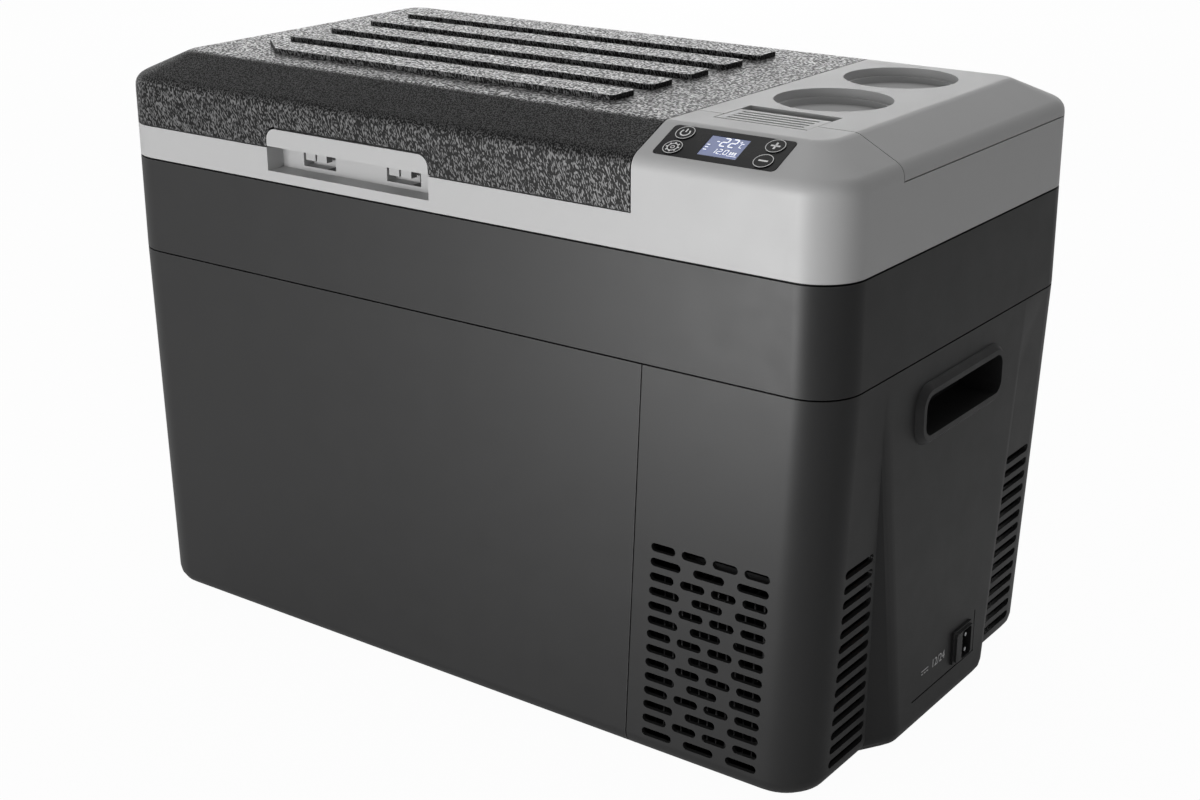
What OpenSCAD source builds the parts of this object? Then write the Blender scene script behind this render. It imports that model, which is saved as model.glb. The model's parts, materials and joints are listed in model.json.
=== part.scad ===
// Portable compressor cooler fridge: a chest with a food compartment on the left under a hinged lid and
// a machine compartment on the right under a hinged accessory cover.
// Millimetres. X runs left to right, Y front to back, Z up from the surface that the feet stand on.

/* [Case] */
// Length of the case between its end faces
case_l = 580; // [565:1:620]
// Width of the case, front to back
case_w = 318; // [312:1:340]
// Radius of the upright corners
corner_r = 30; // [24:1:34]
// Radius of the edges round the underside
under_r = 12; // [8:1:16]
// Wall of the moulded shells
wall = 3; // [2.6:0.1:3.4]
// Height of the seam under the collar, above the underside
seam_h = 261; // [256:1:266]
// Height of the collar, from that seam to the grey frame
collar_h = 68.5; // [64:0.5:74]
// Height of the grey frame, from the collar to the lid's lower edge
band_h = 22.5; // [21:0.5:26]
// Height of the shadow gap between the collar and the grey frame
reveal_h = 1.2; // [0.6:0.1:2]
// Depth of that shadow gap
reveal_t = 2; // [1:0.25:2.5]
// Width of the seams between the two lower shells and under the collar
seam_gap = 0.8; // [0.5:0.1:1]
// Height of the accessory cover's lower edge above the lid's
cover_rise = 24; // [22:0.5:25]
// Height of the lid's upright sides, from its lower edge to the bevel
bevel_rise = 32.5; // [31:0.5:36]
// Drop of the bevel round the top
bevel_drop = 16.5; // [14:0.5:18]
// Run of the bevel along the front and the back
bevel_run = 36; // [34:0.5:40]
// Run of the bevel at the two ends
bevel_end = 31; // [28:0.5:36]
// Radius of the top face's corners
top_r = 12; // [8:1:16]
// How far the left end leans in at the underside
taper_left = 7.3; // [4:0.1:9]
// How far the right end's corner columns lean in at the underside
taper_right = 12.8; // [9:0.1:14]
// How far the seam in the front wall leans to the left at the underside
seam_lean = 11.7; // [8:0.1:14]
// Distance of that seam's top from the right end
seam_from_end = 130.8; // [126:0.2:134]
// Height of the rubber feet below the case
foot_h = 4; // [3:0.5:6]
// Diameter of the rubber feet
foot_d = 26; // [20:1:32]
// Distance of the feet from the ends
foot_from_end = 62; // [50:1:70]
// Distance of the feet from the front and the back
foot_from_side = 46; // [36:1:56]

/* [Fits] */
// Gap between pieces that are fixed together
fit = 0.2; // [0.15:0.05:0.3]
// Gap between pieces that move past each other
play = 0.4; // [0.3:0.05:0.5]
// Radial running clearance of a pin or shaft
pin_play = 0.05; // [0.02:0.01:0.08]
// Gap that shows round the lid and the cover
lid_gap = 0.8; // [0.6:0.1:1]
// Thickness of the lip that locates the collar in the shells below
lip_t = 2; // [1.6:0.1:2.4]
// Depth of that lip
lip_h = 5; // [3:0.5:6]

/* [Lid] */
// Length of the machine deck beside the lid
deck_l = 140; // [136:1:146]
// Number of ribs on the lid
rib_n = 5; // [3:1:5]
// Pitch of the ribs
rib_pitch = 42.4; // [36:0.2:44]
// Width of a rib
rib_w = 24.5; // [16:0.5:28]
// Height of a rib
rib_h = 3.5; // [2:0.5:5]
// Distance of the ribs from the lid's left end
rib_from_end = 65; // [55:1:75]
// Distance of the ribs from the lid's right edge
rib_from_deck = 56; // [50:1:64]
// Slant of the front rib's cut end
rib_slant = 30; // [20:1:40]
// Round of the ribs' ends, seen from above
rib_r = 4; // [1:0.5:6]
// Depth that the lid's plug reaches into the food compartment
plug_depth = 10; // [6:1:14]
// Gap between that plug and the compartment's walls
plug_gap = 5; // [4:0.5:8]
// Height of the lid seal
gasket_h = 3.2; // [2.4:0.1:4]
// Width of the lid seal
gasket_w = 5; // [4:0.5:5]

/* [Food compartment] */
// Thickness of the inner liner
liner_t = 2; // [1.6:0.1:2.4]
// Insulation at the left end
insulation_end = 38; // [36:1:42]
// Insulation at the front and the back
insulation_side = 36; // [35:0.5:40]
// Insulation under the floor
insulation_floor = 40; // [34:1:50]
// Insulation between the compartment and the bulkhead
insulation_bulk = 33; // [28:1:40]
// Radius of the compartment's upright corners
tub_r = 18; // [14:1:24]
// Reach of the liner's top flange
flange_reach = 5; // [4:0.5:6]
// Thickness of the frame's rim under the lid
rim_t = 5; // [4.5:0.1:6]
// Distance from the lid's right edge to the bulkhead's cold face
bulk_from_lid = 25; // [20:1:30]
// Thickness of the evaporator sleeve
evaporator_t = 1.6; // [1.2:0.1:2]
// Lower edge of the evaporator above the compartment's floor
evaporator_from_floor = 70; // [40:5:90]
// Height of the evaporator
evaporator_h = 180; // [140:5:200]
// Diameter of the interior light
light_d = 14; // [10:1:18]

/* [Hinges] */
// Distance of the hinge axes inside the back face
hinge_in = 3.8; // [3.7:0.05:4]
// Radius of a hinge knuckle
knuckle_r = 3.4; // [3:0.1:3.5]
// Length of a knuckle
knuckle_l = 14; // [10:1:16]
// Radius of the hinge pins
pin_r = 1.5; // [1.2:0.1:1.7]
// Depth of the groove along the hinge edges
groove = 4.5; // [4.4:0.05:4.8]
// Depth of the solid rail that carries the knuckles
rail_d = 13; // [11:0.5:14]
// Height of that rail
rail_h = 12; // [9:0.5:13]
// Distance of the lid's hinges from its two edges
lid_hinge_from_edge = 100; // [70:1:120]
// Distance of the cover's hinges from the middle of the deck
cover_hinge_from_mid = 31; // [26:1:32]

/* [Latch] */
// Distance of the pull handle's left end from the case's left end
pull_from_end = 145; // [130:1:150]
// Length of the pull handle
pull_l = 141; // [132:1:146]
// Height of the pull handle's face
pull_h = 12; // [11:0.5:13]
// Radius of the handle's top corners
pull_r = 8; // [5:0.5:10]
// Thickness of the handle's face
pull_t = 3; // [2.6:0.1:3.2]
// Rise of the handle's lower edge above the lid's lower edge
pull_lift = 1.2; // [1:0.1:1.6]
// Gap above the handle, where it swings
pull_gap = 1.4; // [1.2:0.1:2]
// Depth of the finger recess below the handle
recess_d = 15; // [14:0.5:16]
// Height of the finger recess
recess_h = 15.5; // [15.5:0.1:17]
// Width of the two hook windows in the recess
window_l = 29; // [26:1:30]
// Distance of the hook windows from the middle of the recess
window_from_mid = 37; // [30:1:40]
// Rise of the window's sill above the recess floor
sill_h = 3; // [2.8:0.1:3.5]
// Width of one hook prong
prong_w = 8.6; // [7:0.2:9]
// Gap between the two prongs of a hook
prong_gap = 1.6; // [1:0.1:2.4]
// Thickness of the hook arms
prong_t = 2.6; // [2:0.1:3]
// Length of the hook's nose
nose_l = 2.8; // [2.4:0.1:3]
// Height of the hook's nose
nose_h = 3; // [2.4:0.1:3.2]
// Room under the hook's nose, where it swings down
nose_drop = 4.2; // [4:0.1:4.6]
// Room over the hook's nose, where it swings up
ledge_gap = 1.6; // [1.5:0.1:1.8]
// Radius of the latch's barrel
barrel_r = 2.9; // [2.6:0.1:3]

/* [Accessory cover] */
// Distance of the cover's front seam from the front face
cover_from_front = 69.5; // [66:0.5:72]
// Diameter of a cup holder
cup_d = 74; // [70:1:76]
// Depth of a cup holder
cup_depth = 9.5; // [8:0.5:10]
// Depth of the step inside a cup holder
cup_step = 5.5; // [4:0.5:6]
// Width of that step
cup_ledge = 2.5; // [2:0.5:4]
// Distance between the two cup holders
cup_pitch = 88; // [84:1:90]
// Distance of the rear cup holder from the back face
cup_from_back = 85; // [82:1:88]
// Distance of the cup holders from the right end
cup_from_end = 89; // [84:1:92]
// Length of the sliding catch
catch_l = 63; // [56:1:68]
// Width of the sliding catch
catch_w = 28.5; // [26:0.5:30]
// How far the catch reaches in front of the cover's seam
catch_reach = 10.5; // [9:0.5:12]
// Room behind the catch for its slide and a fingertip
catch_room = 12.5; // [12:0.5:14]
// Depth of the catch's slot
catch_depth = 7; // [6:0.5:7.5]
// How far the catch engages under the deck
catch_bite = 0.8; // [0.6:0.1:1]
// Length of the grooves on the catch
catch_groove_l = 52; // [40:1:54]
// Depth of the grooves on the catch
catch_groove_d = 1.2; // [0.8:0.1:1.6]
// Length of the battery bay
bay_l = 104; // [96:1:108]
// Width of the battery bay
bay_w = 188; // [170:1:196]
// Depth of the battery bay
bay_depth = 62; // [50:1:70]
// Distance of the battery bay from the back face
bay_from_back = 26; // [22:1:30]
// Wall of the battery bay
bay_t = 2; // [1.6:0.1:2.4]

/* [Control panel] */
// Distance of the panel's middle from the right end
panel_from_end = 89; // [84:1:94]
// Distance of the panel's middle from the front face
panel_from_front = 20; // [19.5:0.1:20.5]
// Length of the panel
panel_l = 82; // [80:1:88]
// Width of the panel
panel_w = 28.5; // [28:0.1:29]
// Thickness of the panel
panel_t = 2.2; // [1.8:0.1:2.4]
// How far the panel stands proud
panel_proud = 0.3; // [0.2:0.1:0.5]
// Radius of the panel's corners
panel_r = 3; // [2:0.5:4]
// Length of the display
display_l = 26; // [22:1:30]
// Width of the display
display_w = 19; // [16:0.5:20]
// Diameter of a button
button_d = 11.6; // [10.6:0.2:11.8]
// Distance of the buttons from the panel's middle, along it
button_from_mid = 30.3; // [28:0.1:31]
// Distance of the buttons from the panel's middle, across it
button_rise = 7.2; // [7:0.1:7.4]
// Travel of a button
button_travel = 0.6; // [0.4:0.1:0.8]
// Diameter of a button's stem
stem_d = 4; // [3:0.5:5]
// Depth of the display board behind the panel's face
board_drop = 8; // [7.5:0.1:9]
// Thickness of a circuit board
board_t = 1.6; // [1.2:0.1:2]

/* [Vents] */
// Number of rows of vents
vent_rows = 14; // [6:1:14]
// Pitch of the rows
vent_pitch = 9.92; // [9:0.02:10]
// Height of the lowest row above the underside
vent_low = 16.5; // [16:0.5:20]
// Height of a vent slot
vent_h = 5.6; // [4:0.1:6.2]
// Length of a row of vents
vent_l = 84.4; // [70:0.2:88]
// Distance of the top row's left end from the right end
vent_from_end = 123.2; // [121:0.2:124]
// Bridge between the slots in a row of four
bridge_four = 4.6; // [3.6:0.2:6]
// Bridge between the slots in a row of three
bridge_three = 9; // [8:0.2:11]
// Distance of the end louvres from the front and the back
louvre_from_side = 30.7; // [30.4:0.1:33]
// Gap between the louvres and the foot of the centre panel
louvre_from_panel = 3; // [2:0.5:6]

/* [Right end] */
// Half width of the centre panel's face at the top
panel_half_top = 99; // [94:1:104]
// Half width of the centre panel's face at the underside
panel_half_low = 60; // [56:1:66]
// Slope of the centre panel's flanks, run across over depth
flank_slope = 1.62; // [1.2:0.02:2]
// Length of the grip ring
grip_l = 120; // [112:1:126]
// Height of the grip ring
grip_h = 40; // [36:1:42]
// Distance of the grip's middle below the collar seam
grip_below_seam = 37; // [32:1:40]
// How far the grip ring stands proud
grip_proud = 4.5; // [3:0.5:6]
// Rim of the grip ring
grip_rim = 7; // [6:0.5:8]
// Depth of the grip's finger pocket behind the end face
grip_depth = 24; // [18:1:26]
// Wall of the grip's finger pocket
grip_t = 2.4; // [2:0.1:2.8]
// Radius of the grip's opening
grip_r = 8; // [5:0.5:10]
// Distance of the socket's middle behind the case's middle
socket_y = 25.7; // [20:0.1:30]
// Height of the socket's middle above the underside
socket_z = 40; // [36:0.5:48]
// Length of the socket's flange
socket_l = 27.5; // [26:0.5:30]
// Height of the socket's flange
socket_h = 24; // [23:0.5:26]
// How far the socket stands proud
socket_proud = 3.5; // [2.5:0.5:5]
// Length of the socket's opening
socket_open_l = 13.2; // [11:0.2:14]
// Height of the socket's opening
socket_open_h = 20; // [18:0.2:20.4]
// Depth of the socket's opening
socket_depth = 14; // [10:1:16]
// Radius of a socket pin
socket_pin_r = 1.4; // [1.2:0.1:2]
// Pitch of the socket pins
socket_pin_pitch = 11; // [9:0.5:12]
// Width of the engraved line beside the socket
line_w = 1.1; // [0.6:0.1:1.4]

/* [Machinery] */
// Thickness of the base plate
base_t = 2; // [1.6:0.1:2.5]
// Radius of the compressor's can
can_r = 48; // [44:1:50]
// Height of the compressor's can
can_h = 124; // [110:1:130]
// Thickness of the compressor's foot plate
can_foot_t = 2.5; // [2:0.1:3]
// Height of the compressor's grommets
grommet_h = 8; // [6:1:10]
// Radius of the compressor's grommets
grommet_r = 8; // [7:0.5:9]
// Half pitch of the compressor's bolts
bolt_half = 46; // [44:1:48]
// Radius of the compressor's bolts
bolt_r = 3; // [2.5:0.5:3]
// Distance of the compressor's middle from the back of the case
can_from_back = 97; // [92:1:103]
// Distance of the suction pipe from the back of the case
suction_from_back = 26; // [24:1:28]
// Height of the suction pipe above the compressor's foot
suction_rise = 180; // [174:2:184]
// Size of the square fan
fan_size = 120; // [112:1:120]
// Depth of the fan
fan_d = 25; // [22:1:28]
// Gap between a blade's tip and the fan's bore
fan_tip_gap = 1.5; // [1:0.1:2.5]
// Radius of the fan's hub
fan_hub_r = 19; // [17:1:22]
// Number of fan blades
fan_blades = 7; // [5:1:9]
// Pitch angle of a fan blade
fan_blade_angle = 38; // [30:1:45]
// Thickness of a fan blade
fan_blade_t = 1.8; // [1.4:0.1:2.4]
// Distance from the front wall to the condenser
condenser_from_front = 9; // [7:0.5:10]
// Depth of the condenser
condenser_d = 24; // [20:1:26]
// Length of the condenser
condenser_l = 112; // [100:1:114]
// Height of the condenser
condenser_h = 116; // [112:1:120]
// Number of fins
fin_n = 18; // [8:1:22]
// Thickness of a fin
fin_t = 1; // [0.8:0.1:1.2]
// Number of passes of the condenser's coil
coil_n = 5; // [3:2:5]
// Pitch of the coil's passes
coil_pitch = 21; // [19:0.5:22]
// Radius of the refrigerant tubes
tube_r = 3; // [2.4:0.1:3.2]
// Radius of the capillary tube
capillary_r = 1.2; // [1:0.1:1.5]
// Radius of the filter drier
drier_r = 9; // [7:0.5:10]
// Length of the filter drier
drier_l = 84; // [70:1:90]
// Length of the control board
board_l = 108; // [90:1:116]
// Height of the control board
board_h = 110; // [90:1:114]
// Gap between the control board and the bulkhead
board_gap = 5; // [4:0.5:6]
// Radius of the base screws
screw_r = 2; // [1.5:0.1:2.2]

/* [Hidden] */
$fn = 48;

// Colours as the photo shows them
grey = [0.72, 0.72, 0.73];
charcoal = [0.2, 0.2, 0.21];
lid_black = [0.14, 0.14, 0.15];
black = [0.05, 0.05, 0.06];
steel = [0.6, 0.62, 0.64];
copper = [0.72, 0.45, 0.3];
foam_white = [0.9, 0.88, 0.8];

// A size past every piece, for cuts, and a small overlap for them
far = 2 * case_l;
over = 1;
// Thickness of the slices that a swept form is drawn through
slice = 0.01;

// Faces and levels of the case
x_end = case_l / 2;
y_side = case_w / 2;
z_base = foot_h;
z_seam = z_base + seam_h;
z_band = z_seam + collar_h;
z_lid = z_band + band_h;
z_cover = z_lid + cover_rise;
z_bevel = z_lid + bevel_rise;
z_top = z_bevel + bevel_drop;
lid_x = x_end - deck_l;
deck_x = lid_x + lid_gap;
cover_y = -y_side + cover_from_front;
collar_t = wall + fit + lip_t;
bevel_angle = atan(bevel_drop / bevel_run);

// Food compartment
bulk_x = lid_x - bulk_from_lid;
tub_x0 = -x_end + insulation_end;
tub_x1 = bulk_x - insulation_bulk;
tub_y = y_side - insulation_side;
tub_z = z_base + insulation_floor;
evaporator_z = tub_z + evaporator_from_floor;
flange_t = liner_t;

// Hinge axes
hinge_y = y_side - hinge_in;
lid_hinge_z = z_lid + lid_gap / 2;
cover_hinge_z = z_cover + lid_gap / 2;
lid_hinges = [-x_end + lid_hinge_from_edge, lid_x - lid_hinge_from_edge];
deck_mid = (deck_x + x_end) / 2 - corner_r / 2;
cover_hinges = [deck_mid - cover_hinge_from_mid, deck_mid + cover_hinge_from_mid];

// Latch
pull_x0 = -x_end + pull_from_end;
pull_x1 = pull_x0 + pull_l;
pull_mid = (pull_x0 + pull_x1) / 2;
pull_z = z_lid + pull_lift;
latch_y = -y_side + pull_t + fit;
latch_z = pull_z + pull_h - barrel_r;
recess_y = -y_side + recess_d;
recess_z = z_lid - recess_h;
sill_z = recess_z + sill_h;
prong_y = recess_y + play;
nose_y = prong_y + prong_t + nose_l;
nose_z = sill_z + nose_drop;
ledge_z = nose_z + nose_h + ledge_gap;
well_y = nose_y + nose_l + play;
ear_l = 4;
ear_t = 2;
spring_l = 6;
latch_bay_y = well_y + wall;

// Accessory cover and its catch
cup_x = x_end - cup_from_end;
cups_y = [y_side - cup_from_back - cup_pitch, y_side - cup_from_back];
catch_y = cover_y - catch_reach;
slot_y = catch_y + catch_w + catch_room;
lip_gap = catch_bite + play;
notch_y = catch_y - lip_gap - play;
rail_groove = 2;
bay_x0 = (deck_x + x_end - bay_l) / 2;
bay_y1 = y_side - bay_from_back;
bay_y0 = bay_y1 - bay_w;

// Machine compartment
floor_z = z_base + wall;
deck_z = floor_z + base_t;
warm_x = bulk_x + wall;
machine_x = x_end - cup_from_end + 4;
fan_y = -y_side + wall + condenser_from_front + condenser_d + 4;
fan_z = deck_z + fan_size / 2;
fan_r = fan_size / 2 - 4;
coil_y = -y_side + wall + condenser_from_front + condenser_d / 2;
condenser_x0 = machine_x - condenser_l / 2;
condenser_x1 = machine_x + condenser_l / 2;
coil_z0 = deck_z + condenser_h / 2 - (coil_n - 1) * coil_pitch / 2;
coil_top = coil_z0 + (coil_n - 1) * coil_pitch;
can_y = y_side - can_from_back;
can_z = deck_z + grommet_h + can_foot_t;
drier_gap = 1;
drier_x = warm_x + drier_r + drier_gap;
drier_y = -60;
drier_rise = 30;
drier_z = deck_z + condenser_h + drier_rise;
drier_neck = 8;
capillary_step = 30;
capillary_rise = 20;
board_y = 46;
board_below_pipe = 18;
suction_y = y_side - suction_from_back;
suction_z = can_z + suction_rise;
capillary_y = drier_y + capillary_step;
capillary_z = drier_z + drier_l + capillary_rise;
board_z = suction_z - board_below_pipe;

// Straight cylinder from one point to another
module rod(a, b, r) {
    d = b - a;
    translate(a) rotate([0, acos(d.z / norm(d)), atan2(d.y, d.x)]) cylinder(h = norm(d), r = r);
}

// Bent tube through points, with a bead at each bend
module tube(points, r) {
    bead_r = 1.1 * r;
    for (i = [0:len(points) - 2]) rod(points[i], points[i + 1], r);
    for (i = [1:len(points) - 2]) translate(points[i]) sphere(bead_r);
}

module box(x, y, z) {
    translate([x[0], y[0], z[0]]) cube([x[1] - x[0], y[1] - y[0], z[1] - z[0]]);
}

// Rectangle with round corners, from its limits
module rounded(x, y, r) {
    translate([x[0] + r, y[0]]) square([x[1] - x[0] - 2 * r, y[1] - y[0]]);
    translate([x[0], y[0] + r]) square([x[1] - x[0], y[1] - y[0] - 2 * r]);
    for (u = [x[0] + r, x[1] - r], v = [y[0] + r, y[1] - r]) translate([u, v]) circle(r);
}

// Slot with round ends
module stadium(l, h) {
    translate([h / 2, -h / 2]) square([l - h, h]);
    for (u = [h / 2, l - h / 2]) translate([u, 0]) circle(h / 2);
}

module upright(inset, z0, z1) {
    translate([0, 0, z0]) linear_extrude(z1 - z0)
        rounded([-x_end + inset, x_end - inset], [-y_side + inset, y_side - inset], corner_r - inset);
}

// Point of a quadratic curve
function curve(a, b, c, t) = a * (1 - t) * (1 - t) + 2 * b * t * (1 - t) + c * t * t;

// Outline of the bevel as [share of its run, height], soft at both edges
soft_low = 7;
soft_share = 0.18;
soft_top = 0.09;
soft_steps = 5;
crown_low = [0, z_bevel - soft_low];
crown_mid = [soft_share, z_bevel + soft_share * bevel_drop];
crown_high = [1 - soft_top, z_top - soft_top * bevel_drop];
crown_line = [for (i = [0:soft_steps]) curve(crown_low, [0, z_bevel], crown_mid, i / soft_steps),
    for (i = [0:soft_steps]) curve(crown_high, [1, z_top], [1 + soft_top, z_top], i / soft_steps)];

// How far in the inner face of a bevel meets the inner top face
function inner_run(run, inset) =
    let (a = atan(bevel_drop / run)) (bevel_drop - inset + inset / cos(a)) / tan(a);

// Points round a rectangle with round corners, at level z
arc_steps = 10;

function ring(x, y, r, z) = [for (c = [[x[1] - r, y[1] - r, 0], [x[0] + r, y[1] - r, 90],
    [x[0] + r, y[0] + r, 180], [x[1] - r, y[0] + r, 270]], i = [0:arc_steps])
    let (a = c.z + 90 * i / arc_steps) [c.x + r * cos(a), c.y + r * sin(a), z]];

// Solid skinned over rings that hold the same number of points
module loft(rings) {
    n = len(rings[0]);
    m = len(rings);
    sides = [for (k = [0:m - 2], i = [0:n - 1])
        let (a = k * n + i, b = k * n + (i + 1) % n, c = b + n, d = a + n) each [[a, d, c], [a, c, b]]];
    low = [for (i = [0:n - 1]) i];
    high = [for (i = [n - 1:-1:0]) (m - 1) * n + i];
    polyhedron([for (r = rings, p = r) p], concat([low, high], sides));
}

function crown_ring(z, end_in, side_in, r) =
    ring([-x_end + end_in, x_end - end_in], [-y_side + side_in, y_side - side_in], r, z);

// Outer form of the frame, lid and cover
module crown() {
    loft(concat([crown_ring(z_band, 0, 0, corner_r)],
        [for (p = crown_line) crown_ring(p.y, p.x * bevel_end, p.x * bevel_run,
            corner_r + (top_r - corner_r) * min(p.x, 1))]));
}

// The same form, inset by a wall
module crown_inside(inset) {
    lift = inset * (1 / cos(bevel_angle) - tan(bevel_angle));
    loft([crown_ring(z_band - over, inset, inset, corner_r - inset),
        crown_ring(z_bevel - lift, inset, inset, corner_r - inset),
        crown_ring(z_top - inset, inner_run(bevel_end, inset), inner_run(bevel_run, inset), top_r)]);
}

// Case below the collar: ends lean in, underside edges are round
under_steps = 4;
function lean_at(z) = (z_seam - z) / seam_h;

function case_ring(z, inset) =
    ring([-x_end + taper_left * lean_at(z) + inset, x_end - taper_right * lean_at(z) - inset],
        [-y_side + inset, y_side - inset], corner_r - inset, z);

module lower_form(inset, z1) {
    r = under_r - inset;
    loft(concat([for (a = [0:90 / under_steps:90])
        case_ring(z_base + inset + r * (1 - cos(a)), inset + r * (1 - sin(a)))], [case_ring(z1, inset)]));
}

// Centre panel of the right end: upright face, flanks that slope back to the leaning columns
flank_d = taper_right + 2 * wall;

function panel_half(z) = panel_half_low + (panel_half_top - panel_half_low) * (1 - lean_at(z));

panel_soft = 5;
panel_steps = 4;

function panel_ring(z, inset, back) =
    let (half = panel_half(z) - inset, foot = half + flank_slope * (flank_d - back), x = x_end - back,
        run = panel_soft / norm([1, flank_slope]),
        edge = [for (i = [0:panel_steps]) curve([x - run, half + run * flank_slope, z], [x, half, z],
            [x, half - panel_soft, z], i / panel_steps)])
    concat([[x_end - flank_d, -foot, z]], [for (p = edge) [p.x, -p.y, z]],
        [for (i = [panel_steps:-1:0]) edge[i]], [[x_end - flank_d, foot, z]]);

module end_panel(inset, z1) {
    r = under_r - inset;
    loft(concat([for (a = [0:90 / under_steps:90])
        panel_ring(z_base + inset + r * (1 - cos(a)), inset, inset + r * (1 - sin(a)))],
        [panel_ring(z1, inset, inset)]));
}

// Everything to the right of the seam in the front and back walls
module right_of_seam(gap) {
    translate([x_end - seam_from_end + gap, 0, z_seam]) rotate([0, atan(seam_lean / seam_h), 0])
        translate([0, -far / 2, -far / 2]) cube(far);
}

// Frame of reference of the leaning left end: its face is the plane x = 0, outwards is +X
module on_left_end() {
    translate([-x_end, 0, z_seam]) rotate([0, -atan(taper_left / seam_h), 0])
        translate([0, 0, -grip_below_seam]) mirror([1, 0, 0]) children();
}

module on_right_end() {
    translate([x_end, 0, z_seam - grip_below_seam]) children();
}

// Shape in the Y and Z plane, drawn along X from x0 to x1
module along_x(x0, x1) {
    translate([x0, 0, 0]) rotate([90, 0, 90]) linear_extrude(x1 - x0) children();
}

// Shape in the X and Z plane, drawn along Y from y0 to y1
module along_y(y0, y1) {
    translate([0, y1, 0]) rotate([90, 0, 0]) linear_extrude(y1 - y0) children();
}

module centred(l, h, r) {
    rounded([-l / 2, l / 2], [-h / 2, h / 2], r);
}

// Finger pocket of a grip, as its outside grown by a gap
module pocket_outside(gap) {
    along_x(-grip_depth - grip_t - gap, over)
        centred(grip_l - 2 * grip_rim + 2 * grip_t + 2 * gap, grip_h - 2 * grip_rim + 2 * grip_t + 2 * gap,
            grip_r + grip_t);
}

module grip() {
    difference() {
        union() {
            hull() {
                along_x(0, slice) centred(grip_l, grip_h, grip_r + grip_rim);
                along_x(grip_proud / 2, grip_proud / 2 + slice)
                    centred(grip_l - grip_rim / 4, grip_h - grip_rim / 4, grip_r + grip_rim);
                along_x(grip_proud - slice, grip_proud)
                    centred(grip_l - grip_rim, grip_h - grip_rim, grip_r + grip_rim / 2);
            }
            intersection() {
                pocket_outside(0);
                box([-far, slice], [-far, far], [-far, far]);
            }
        }
        along_x(-grip_depth, grip_proud + over)
            centred(grip_l - 2 * grip_rim, grip_h - 2 * grip_rim, grip_r);
    }
}

module foot_places() {
    for (x = [-x_end + foot_from_end, x_end - foot_from_end], s = [-1, 1])
        translate([x, s * (y_side - foot_from_side), 0]) children();
}

foot_plug_r = 4;

module foot_holes() {
    foot_places() translate([0, 0, z_base - over]) cylinder(h = wall + 2 * over, r = foot_plug_r + pin_play);
}

module cabinet_shell() {
    color(charcoal) difference() {
        lower_form(0, z_seam);
        lower_form(wall, z_seam + over);
        right_of_seam(-seam_gap / 2);
        on_left_end() pocket_outside(fit);
        foot_holes();
    }
}

// One row of vents, whose slots fill the row's length
module vent_row(count, bridge) {
    slot_l = (vent_l - (count - 1) * bridge) / count;
    for (i = [0:count - 1]) translate([i * (slot_l + bridge), 0]) stadium(slot_l, vent_h);
}

vent_lean = taper_right / seam_h;

module front_vents() {
    for (i = [0:vent_rows - 1]) {
        z = z_base + vent_low + i * vent_pitch;
        x = x_end - vent_from_end - vent_lean * (vent_rows - 1 - i) * vent_pitch;
        even = (vent_rows - 1 - i) % 2 == 0;
        along_y(-y_side - over, -y_side + wall + over) translate([x, z])
            vent_row(even ? 4 : 3, even ? bridge_four : bridge_three);
    }
}

module end_louvres() {
    for (i = [0:vent_rows - 1]) {
        z = z_base + vent_low + i * vent_pitch;
        inner = panel_half(z) + flank_slope * taper_right * lean_at(z) + louvre_from_panel;
        outer = y_side - louvre_from_side;
        along_x(x_end - flank_d - wall, x_end + over) translate([inner, z]) stadium(outer - inner, vent_h);
    }
}

// Outline of the socket's flange, drawn along X
module socket_block(x0, x1, inset) {
    along_x(x_end + x0, x_end + x1) translate([socket_y, z_base + socket_z])
        centred(socket_l - 2 * inset, socket_h - 2 * inset, 2);
}

socket_neck = 3;
socket_open_off = 2.3;
socket_open_y = socket_y + socket_open_off;
line_depth = 1.3;
line_gap = 7;
line_l = 89;

// Engraved line under and beside the socket
module socket_line() {
    y1 = socket_y + socket_l / 2 + line_gap;
    z0 = z_base + socket_z - socket_h / 2 - line_gap / 2;
    x = [x_end - line_depth, x_end + over];
    box(x, [y1 - line_l, y1], [z0, z0 + line_w]);
    box(x, [y1 - line_w, y1], [z0, z0 + socket_h + line_gap]);
}

module machine_housing() {
    color(charcoal) difference() {
        intersection() {
            union() {
                lower_form(0, z_seam);
                end_panel(0, z_seam);
            }
            right_of_seam(seam_gap / 2);
        }
        lower_form(wall, z_seam + over);
        end_panel(wall, z_seam + over);
        front_vents();
        mirror([0, 1, 0]) front_vents();
        end_louvres();
        mirror([0, 1, 0]) end_louvres();
        on_right_end() pocket_outside(fit);
        socket_block(-flank_d, over, socket_neck - fit);
        socket_line();
        foot_holes();
        base_screw_places() translate([0, 0, z_base - over])
            cylinder(h = wall + 2 * over, r = screw_r + pin_play);
    }
}

module upper_collar() {
    color(charcoal) difference() {
        union() {
            upright(0, z_seam + seam_gap, z_band - reveal_h);
            upright(reveal_t, z_seam, z_band);
            upright(wall + 2 * fit, z_seam - lip_h, z_seam + over);
        }
        upright(collar_t, z_seam - lip_h - over, z_band + over);
    }
}

// Knuckle, or the room round it, of length l about a hinge axis
module barrel(x0, x1, z, r) {
    translate([x0, hinge_y, z]) rotate([0, 90, 0]) cylinder(h = x1 - x0, r = r);
}

module moving_knuckles(places, z, r, gap) {
    for (x = places) barrel(x - knuckle_l / 2 - gap, x + knuckle_l / 2 + gap, z, r);
}

module fixed_knuckles(places, z, r, gap) {
    for (x = places, s = [-1, 1]) {
        mid = x + s * (knuckle_l + play);
        barrel(mid - knuckle_l / 2 - gap, mid + knuckle_l / 2 + gap, z, r);
    }
}

pin_half = knuckle_l * 1.5 + play;

module hinge_pins(places, z, r, extra) {
    for (x = places) barrel(x - pin_half - extra, x + pin_half + extra, z, r);
}

// Groove that lets a hinged edge turn past the edge below it
module hinge_groove(z) {
    translate([0, y_side, z]) rotate([45, 0, 0]) cube([far, groove * sqrt(2), groove * sqrt(2)], center = true);
}

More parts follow.
